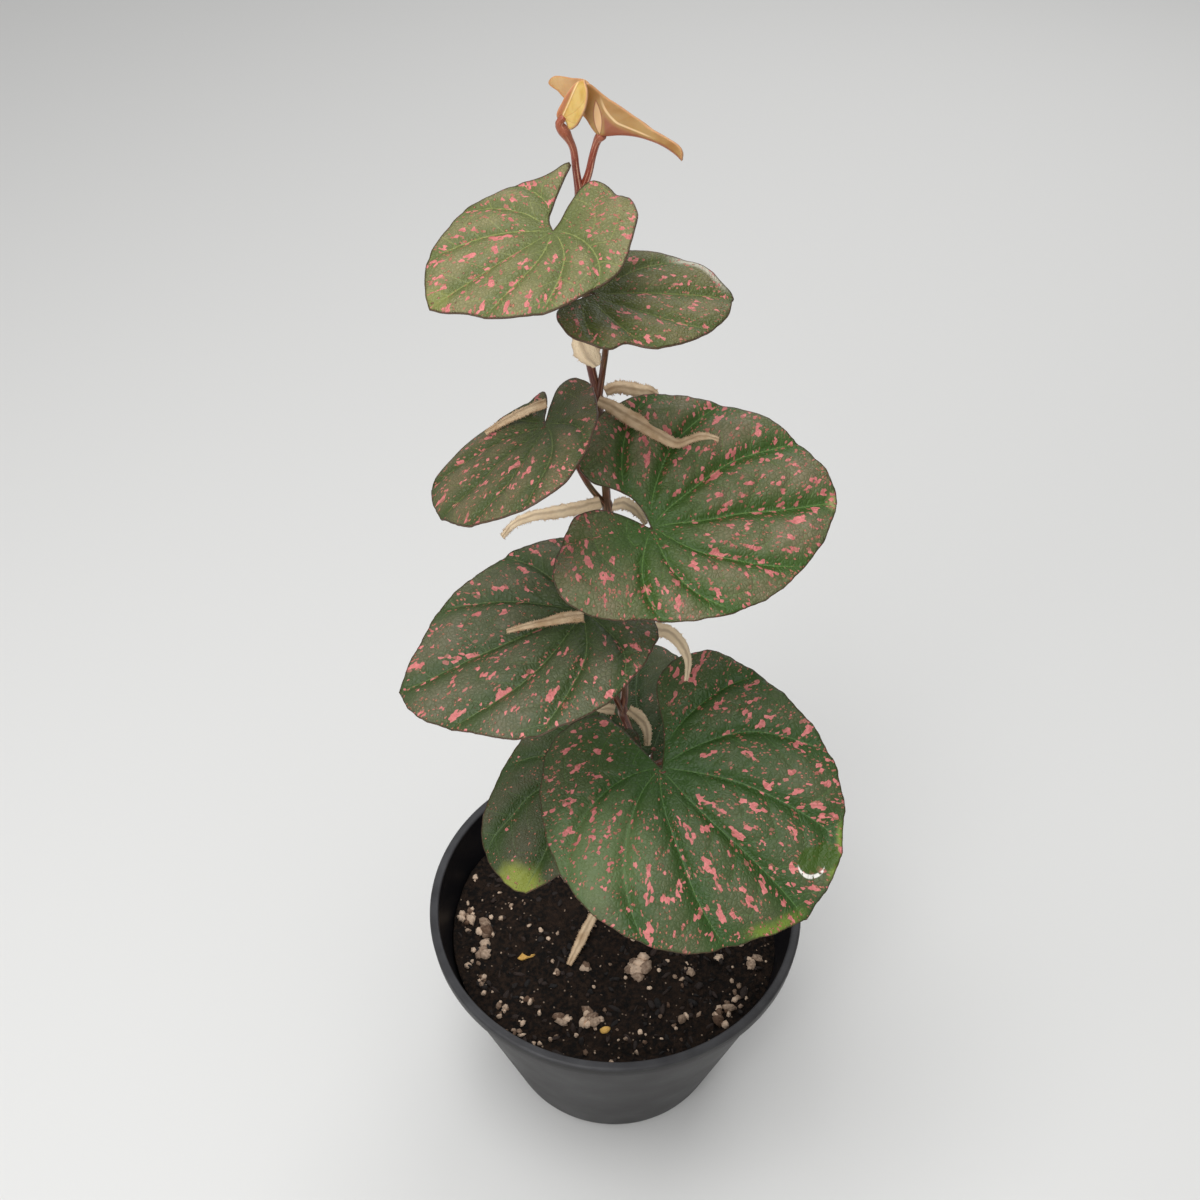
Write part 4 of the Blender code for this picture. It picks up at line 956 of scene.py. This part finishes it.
def build_sheath(name, sheath, material, seed):
    """A curled, creased ribbon whose frayed edges carry short hairs."""
    facing = np.array(sheath["face"], float)
    facing /= np.linalg.norm(facing)
    route = even_spacing(spline(sheath["route"], 12), SHEATH_STEP)
    line, widths = route[:, :3], route[:, 3]
    across = np.cross(np.gradient(line, axis=0), facing)
    across /= np.linalg.norm(across, axis=1)[:, None]
    columns = np.linspace(-1, 1, SHEATH_COLUMNS)
    along = np.arange(len(line)) * SHEATH_STEP
    points = []
    for centre, sideways, width, distance in zip(line, across, widths, along):
        fringe = 0.6 * waves(distance, 2 * columns, 3.7, seed) + waves(distance, 3 * columns, 0.8, seed + 2)
        out = columns * width / 2 * (1 + 0.09 * fringe * np.abs(columns) ** 3)
        rise = 0.45 * sheath["crease"] * width * (1 - np.abs(columns) ** 1.6)
        rise = rise + 0.12 * waves(distance * 0.6, 2 * columns, 3.0, seed + 1) * width / 2
        points.append(centre + sideways * out[:, None] + facing * rise[:, None])
    faces = grid_faces(len(line), SHEATH_COLUMNS, False)
    strip = [np.stack([np.repeat(along, SHEATH_COLUMNS), np.tile(columns, len(line))], axis=-1)]
    start = len(line) * SHEATH_COLUMNS
    for corners, row, outward in edge_hairs(np.array(points), across, sheath["tone"], seed):
        points.append(corners)
        strip.append(np.tile([along[row], outward], (3, 1)))
        faces.append((start, start + 1, start + 2))
        start += 3
    strip = np.vstack(strip)
    obj = new_mesh(name + "_paper", np.vstack(points), faces)
    add_attribute(obj.data, "strip", strip[:, 0], strip[:, 1], sheath["tone"])
    paint(obj, material)
    thicken(obj, PAPER_THICKNESS, 0)
    stand_for(obj, name)


def pot_outer_radius(height):
    """The tapered wall's outer radius under the rim band."""
    return POT_BASE_RADIUS + POT_TAPER * height


def lip_arc(centre_radius, start, end):
    """A quarter of the lip's round, as radius and height."""
    lip = POT_LIP_RADIUS
    return [(centre_radius + lip * math.cos(angle), POT_HEIGHT - lip + lip * math.sin(angle))
            for angle in np.radians(np.linspace(start, end, 7))]


def pot_material():
    graph = Graph("moulded_pot_plastic")
    place = graph.place()
    x, y, z = graph.split(place)
    smudge = graph.noise(place, 16.0, 4.0)
    colour = graph.mix(smudge.ramp(0.35, 0.7), (0.0055, 0.005, 0.0052), (0.0115, 0.01, 0.01))
    radius = graph.add("VectorMath", graph.join(x, y, 0.0), operation="LENGTH", output="Value")
    within = (z * POT_TAPER + POT_BASE_RADIUS - radius).ramp(0.3, 0.7)
    colour = graph.mix(within, colour, (0.006, 0.006, 0.008))
    # Painted highlight: a lighter grey line round the top of the lip, uneven along it.
    painted_lip_highlight = z.ramp(POT_HEIGHT - 1.2, POT_HEIGHT - 0.1) * (graph.noise(place, 7.0, 3.0) * 0.8 + 0.1)
    colour = graph.mix(painted_lip_highlight, colour, (0.08, 0.08, 0.085))
    scuff = graph.noise(graph.join(graph.math("ARCTAN2", y, x) * 12.0, 0.0, z), 1.6, 5.0)
    colour = graph.mix(scuff.ramp(0.62, 0.75) * 0.25, colour, (0.13, 0.115, 0.1))
    graph.surface(base_color=colour, roughness=smudge * 0.25 + 0.32, specular_ior_level=0.26)
    graph.bump(graph.noise(place, 0.5), 0.05)
    return graph.material


def build_pot():
    """The thin-walled pot, turned from its profile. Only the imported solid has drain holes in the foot."""
    band_bottom = POT_HEIGHT - POT_BAND_DEPTH
    rim, lip = POT_RIM_RADIUS, POT_LIP_RADIUS
    profile = [
        (rim - 2.4, POT_HEIGHT - 1.0), *lip_arc(rim - 1.7, 180, 90), *lip_arc(rim - lip, 90, 0),
        (rim - 0.25, band_bottom + 0.5), (rim - 0.5, band_bottom),
        (pot_outer_radius(band_bottom), band_bottom - 0.3),
        *((pot_outer_radius(height), height) for height in (40, 20, 2)),
        (POT_BASE_RADIUS - 0.2, 0.6), (POT_BASE_RADIUS - 1.0, 0.0), (14.0, 0.0), (0.0, 0.0), (0.0, POT_WALL),
        (14.0, POT_WALL), (POT_BASE_RADIUS - POT_WALL - 0.6, POT_WALL),
        *((pot_outer_radius(height) - POT_WALL, height) for height in (2.4, 40, band_bottom)),
    ]
    closed = profile + profile[:1]
    pot = new_mesh("nursery_pot", [(radius, 0.0, height) for radius, height in closed], [])
    pot.data.edges.add(len(closed) - 1)
    for index, edge in enumerate(pot.data.edges):
        edge.vertices = (index, index + 1)
    turned = pot.modifiers.new("turned", "SCREW")
    turned.steps = turned.render_steps = POT_STEPS
    turned.use_merge_vertices = True
    turned.merge_threshold = 0.00001
    bpy.context.view_layer.update()
    pot.data = bpy.data.meshes.new_from_object(pot.evaluated_get(bpy.context.evaluated_depsgraph_get()))
    pot.modifiers.clear()
    pot.data.materials.clear()
    paint(pot, pot_material())
    pot.data.shade_smooth()
    pot.data.set_sharp_from_angle(angle=math.radians(50))
    stand_for(pot, "pot")


def soil_level(x, y):
    """The mix without its crumbs: a slight bank to the left and the front."""
    height = SOIL_LEVEL - 0.03 * x - 0.02 * y
    return height + 0.7 * np.sin(0.23 * x + 1.1) * np.cos(0.19 * y - 0.6)


def soil_material():
    graph = Graph("potting_mix")
    place = graph.place()
    crumb = graph.noise(place, 1.2, 5.0)
    colour = graph.mix(crumb.ramp(0.35, 0.7), (0.004, 0.003, 0.0025), (0.03, 0.018, 0.012))
    colour = graph.mix(graph.noise(place, 8.0, 3.0).ramp(0.5, 0.75) * 0.5, colour, (0.035, 0.02, 0.013))
    speck = graph.cells(place, 0.9)
    rare = graph.split(speck["Color"])[0].ramp(0.93, 0.95)
    colour = graph.mix(rare * speck["Distance"].ramp(0.32, 0.2), colour, (0.3, 0.22, 0.16))
    graph.surface(base_color=colour, roughness=crumb.ramp(-0.4, 0.6), specular_ior_level=0.2)
    graph.bump(graph.noise(place, 0.45, 4.0), 0.7)
    return graph.material


def crumb_material(name, dark, bright, roughness):
    graph = Graph(name)
    place = graph.place()
    tone = graph.noise(place, 0.7, 4.0) * 0.5 + graph.attribute("tint")[0] * 0.7
    graph.surface(base_color=graph.mix(tone.ramp(0.2, 0.9), dark, bright), roughness=roughness)
    graph.bump(graph.noise(place, 0.3, 4.0), 0.35)
    return graph.material


def random_place(draw, radius):
    """A point of a disc, with every part of the disc as likely."""
    angle = draw.uniform(0, math.tau)
    distance = radius * math.sqrt(draw.random())
    return distance * math.cos(angle), distance * math.sin(angle)


def soil_body(draw, wall):
    """The mix as rings from the middle of its lumpy surface out to the wall and down it, closed below."""
    part = (np.arange(SOIL_RINGS + 1) / SOIL_RINGS)[:, None]
    turn = np.linspace(0, math.tau, SOIL_SPOKES, endpoint=False)
    x = (wall * part * np.cos(turn)).ravel()
    y = (wall * part * np.sin(turn)).ravel()
    height = soil_level(x, y)
    for _ in range(SOIL_LUMPS):
        lump_x, lump_y = random_place(draw, wall)
        size = draw.uniform(0.5, 2.0)
        gap = ((x - lump_x) ** 2 + (y - lump_y) ** 2) / size**2
        height = height + np.where(gap < 1, draw.uniform(-0.25, 0.4) * size * (1 - gap), 0.0)
    points = [np.stack([x, y, height], axis=-1)]
    for level in SOIL_SIDE_LEVELS:
        radius = pot_outer_radius(level) - POT_WALL - 0.2
        ring = radius * np.cos(turn), radius * np.sin(turn), np.full(SOIL_SPOKES, level)
        points.append(np.stack(ring, axis=-1))
    rows = SOIL_RINGS + 1 + len(SOIL_SIDE_LEVELS)
    faces = [(a, d, c, b) for a, b, c, d in grid_faces(rows, SOIL_SPOKES, True)]
    faces.append(tuple((rows - 1) * SOIL_SPOKES + spoke for spoke in reversed(range(SOIL_SPOKES))))
    return np.vstack(points), faces


def crumb_places(draw, reach):
    """Where each grain and crumb lies, its size and its kind."""
    places = []
    for centre_x, centre_y, spread, count, size in GRAIN_CLUSTERS:
        for _ in range(count):
            places.append((draw.normal(centre_x, spread / 2), draw.normal(centre_y, spread / 2),
                           size * draw.uniform(0.6, 1.6), PALE))
    places += [(*AMBER_BIT, 1.3, AMBER), (*YELLOW_BIT, 1.2, AMBER)]
    for kind, count, largest in ((PALE, SCATTERED_GRAINS, 0.8), (BARK, BARK_CRUMBS, 0.95)):
        for _ in range(count):
            places.append((*random_place(draw, reach), draw.uniform(0.25, largest), kind))
    return places


def crumb(draw, ball, x, y, size, kind):
    """The points of one crumb: a ball made uneven, stretched, turned and laid on the mix."""
    stretch = size * draw.uniform(0.6, 1.3, 3) * ((1.0, 0.9, 0.8) if kind == PALE else (1.7, 0.8, 0.6))
    shape = ball * (1 + 0.2 * np.sin(ball @ draw.normal(0, 2.6, (3, 3)) + draw.uniform(0, 6, 3)))
    shape = shape * (1 + 0.16 * np.sin(ball @ draw.normal(0, 6.0, (3, 1)))) * stretch
    yaw = Matrix.Rotation(draw.uniform(0, math.tau), 3, "Z")
    tip = Matrix.Rotation(draw.normal(0, 0.35), 3, "Y")
    return shape @ np.array(yaw @ tip).T + np.array([x, y, soil_level(x, y) + 0.3 * stretch[2]])


def build_soil():
    """The mix: a crumbly surface, closed below, with loose crumbs and pale grains on it in the same piece."""
    draw = np.random.default_rng(SOIL_SEED)
    wall = pot_outer_radius(SOIL_LEVEL) - POT_WALL - 0.1
    points, faces = soil_body(draw, wall)
    body = bmesh.new()
    bmesh.ops.create_icosphere(body, subdivisions=2, radius=1.0)
    ball = np.array([tuple(vertex.co) for vertex in body.verts])
    ball_faces = [tuple(vertex.index for vertex in face.verts) for face in body.faces]
    body.free()
    kinds = [0] * len(faces)
    tints = [np.zeros(len(points))]
    pieces = [points]
    start = len(points)
    reach = wall - CRUMB_INSET
    for x, y, size, kind in crumb_places(draw, reach):
        inward = min(1.0, reach / math.hypot(x, y))
        pieces.append(crumb(draw, ball, inward * x, inward * y, size, kind))
        faces += [tuple(start + corner for corner in face) for face in ball_faces]
        kinds += [kind] * len(ball_faces)
        tints.append(np.full(len(ball), draw.random()))
        start += len(ball)
    obj = new_mesh("potting_mix", np.vstack(pieces), faces)
    add_attribute(obj.data, "tint", np.concatenate(tints), 0.0, 0.0)
    paint(obj, soil_material(), crumb_material("pale_grains", (0.13, 0.07, 0.04), (0.8, 0.6, 0.44), 0.8),
          crumb_material("bark_crumbs", (0.003, 0.002, 0.0018), (0.03, 0.016, 0.011), 0.75),
          crumb_material("amber_bits", (0.4, 0.16, 0.03), (0.85, 0.5, 0.12), 0.5))
    obj.data.polygons.foreach_set("material_index", kinds)
    stand_for(obj, "soil")


def build_stage():
    graph = Graph("floor")
    graph.surface(base_color=(0.72, 0.72, 0.71), roughness=0.7)
    mesh = bpy.data.meshes.new("floor")
    corners = [(x * FLOOR_REACH, y * FLOOR_REACH, 0) for x, y in ((-1, -1), (1, -1), (1, 1), (-1, 1))]
    mesh.from_pydata(corners, [], [(0, 1, 2, 3)])
    floor = new_object("floor", mesh)
    paint(floor, graph.material)
    floor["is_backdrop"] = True


def add_light(name, place, size, power):
    light = bpy.data.lights.new(name, "AREA")
    light.size = size
    light.energy = power
    obj = new_object(name, light)
    obj.location = place
    obj.rotation_euler = (Vector(LIGHT_AIM) - Vector(place)).to_track_quat("-Z", "Y").to_euler()


def build_view():
    camera = bpy.data.cameras.new("camera")
    camera.lens = CAMERA_LENS
    camera.sensor_width = 36.0
    camera.clip_start = 0.01
    obj = new_object("camera", camera)
    obj.location = CAMERA_PLACE
    obj.rotation_euler = (math.radians(90 - CAMERA_TILT), 0.0, 0.0)
    bpy.context.scene.camera = obj
    for light in LIGHTS:
        add_light(*light)
    world = bpy.data.worlds.new("studio")
    bpy.context.scene.world = world
    world.use_nodes = True
    background = world.node_tree.nodes["Background"]
    background.inputs["Color"].default_value = (1.0, 1.0, 1.0, 1.0)
    background.inputs["Strength"].default_value = AMBIENT
    bpy.context.scene.view_settings.view_transform = "Standard"


def main():
    build_view()
    build_stage()
    build_pot()
    build_soil()
    build_stem()
    for name, leaf in LEAVES.items():
        build_leaf(name, leaf)
    paper = sheath_material()
    for index, (name, sheath) in enumerate(SHEATHS.items()):
        build_sheath(name, sheath, paper, SHEATH_SEED + index)
    sizes = {"cad": cad_box, "visual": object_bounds()}
    {key: [list(corner) for corner in box] for key, box in sizes.items()}


main()
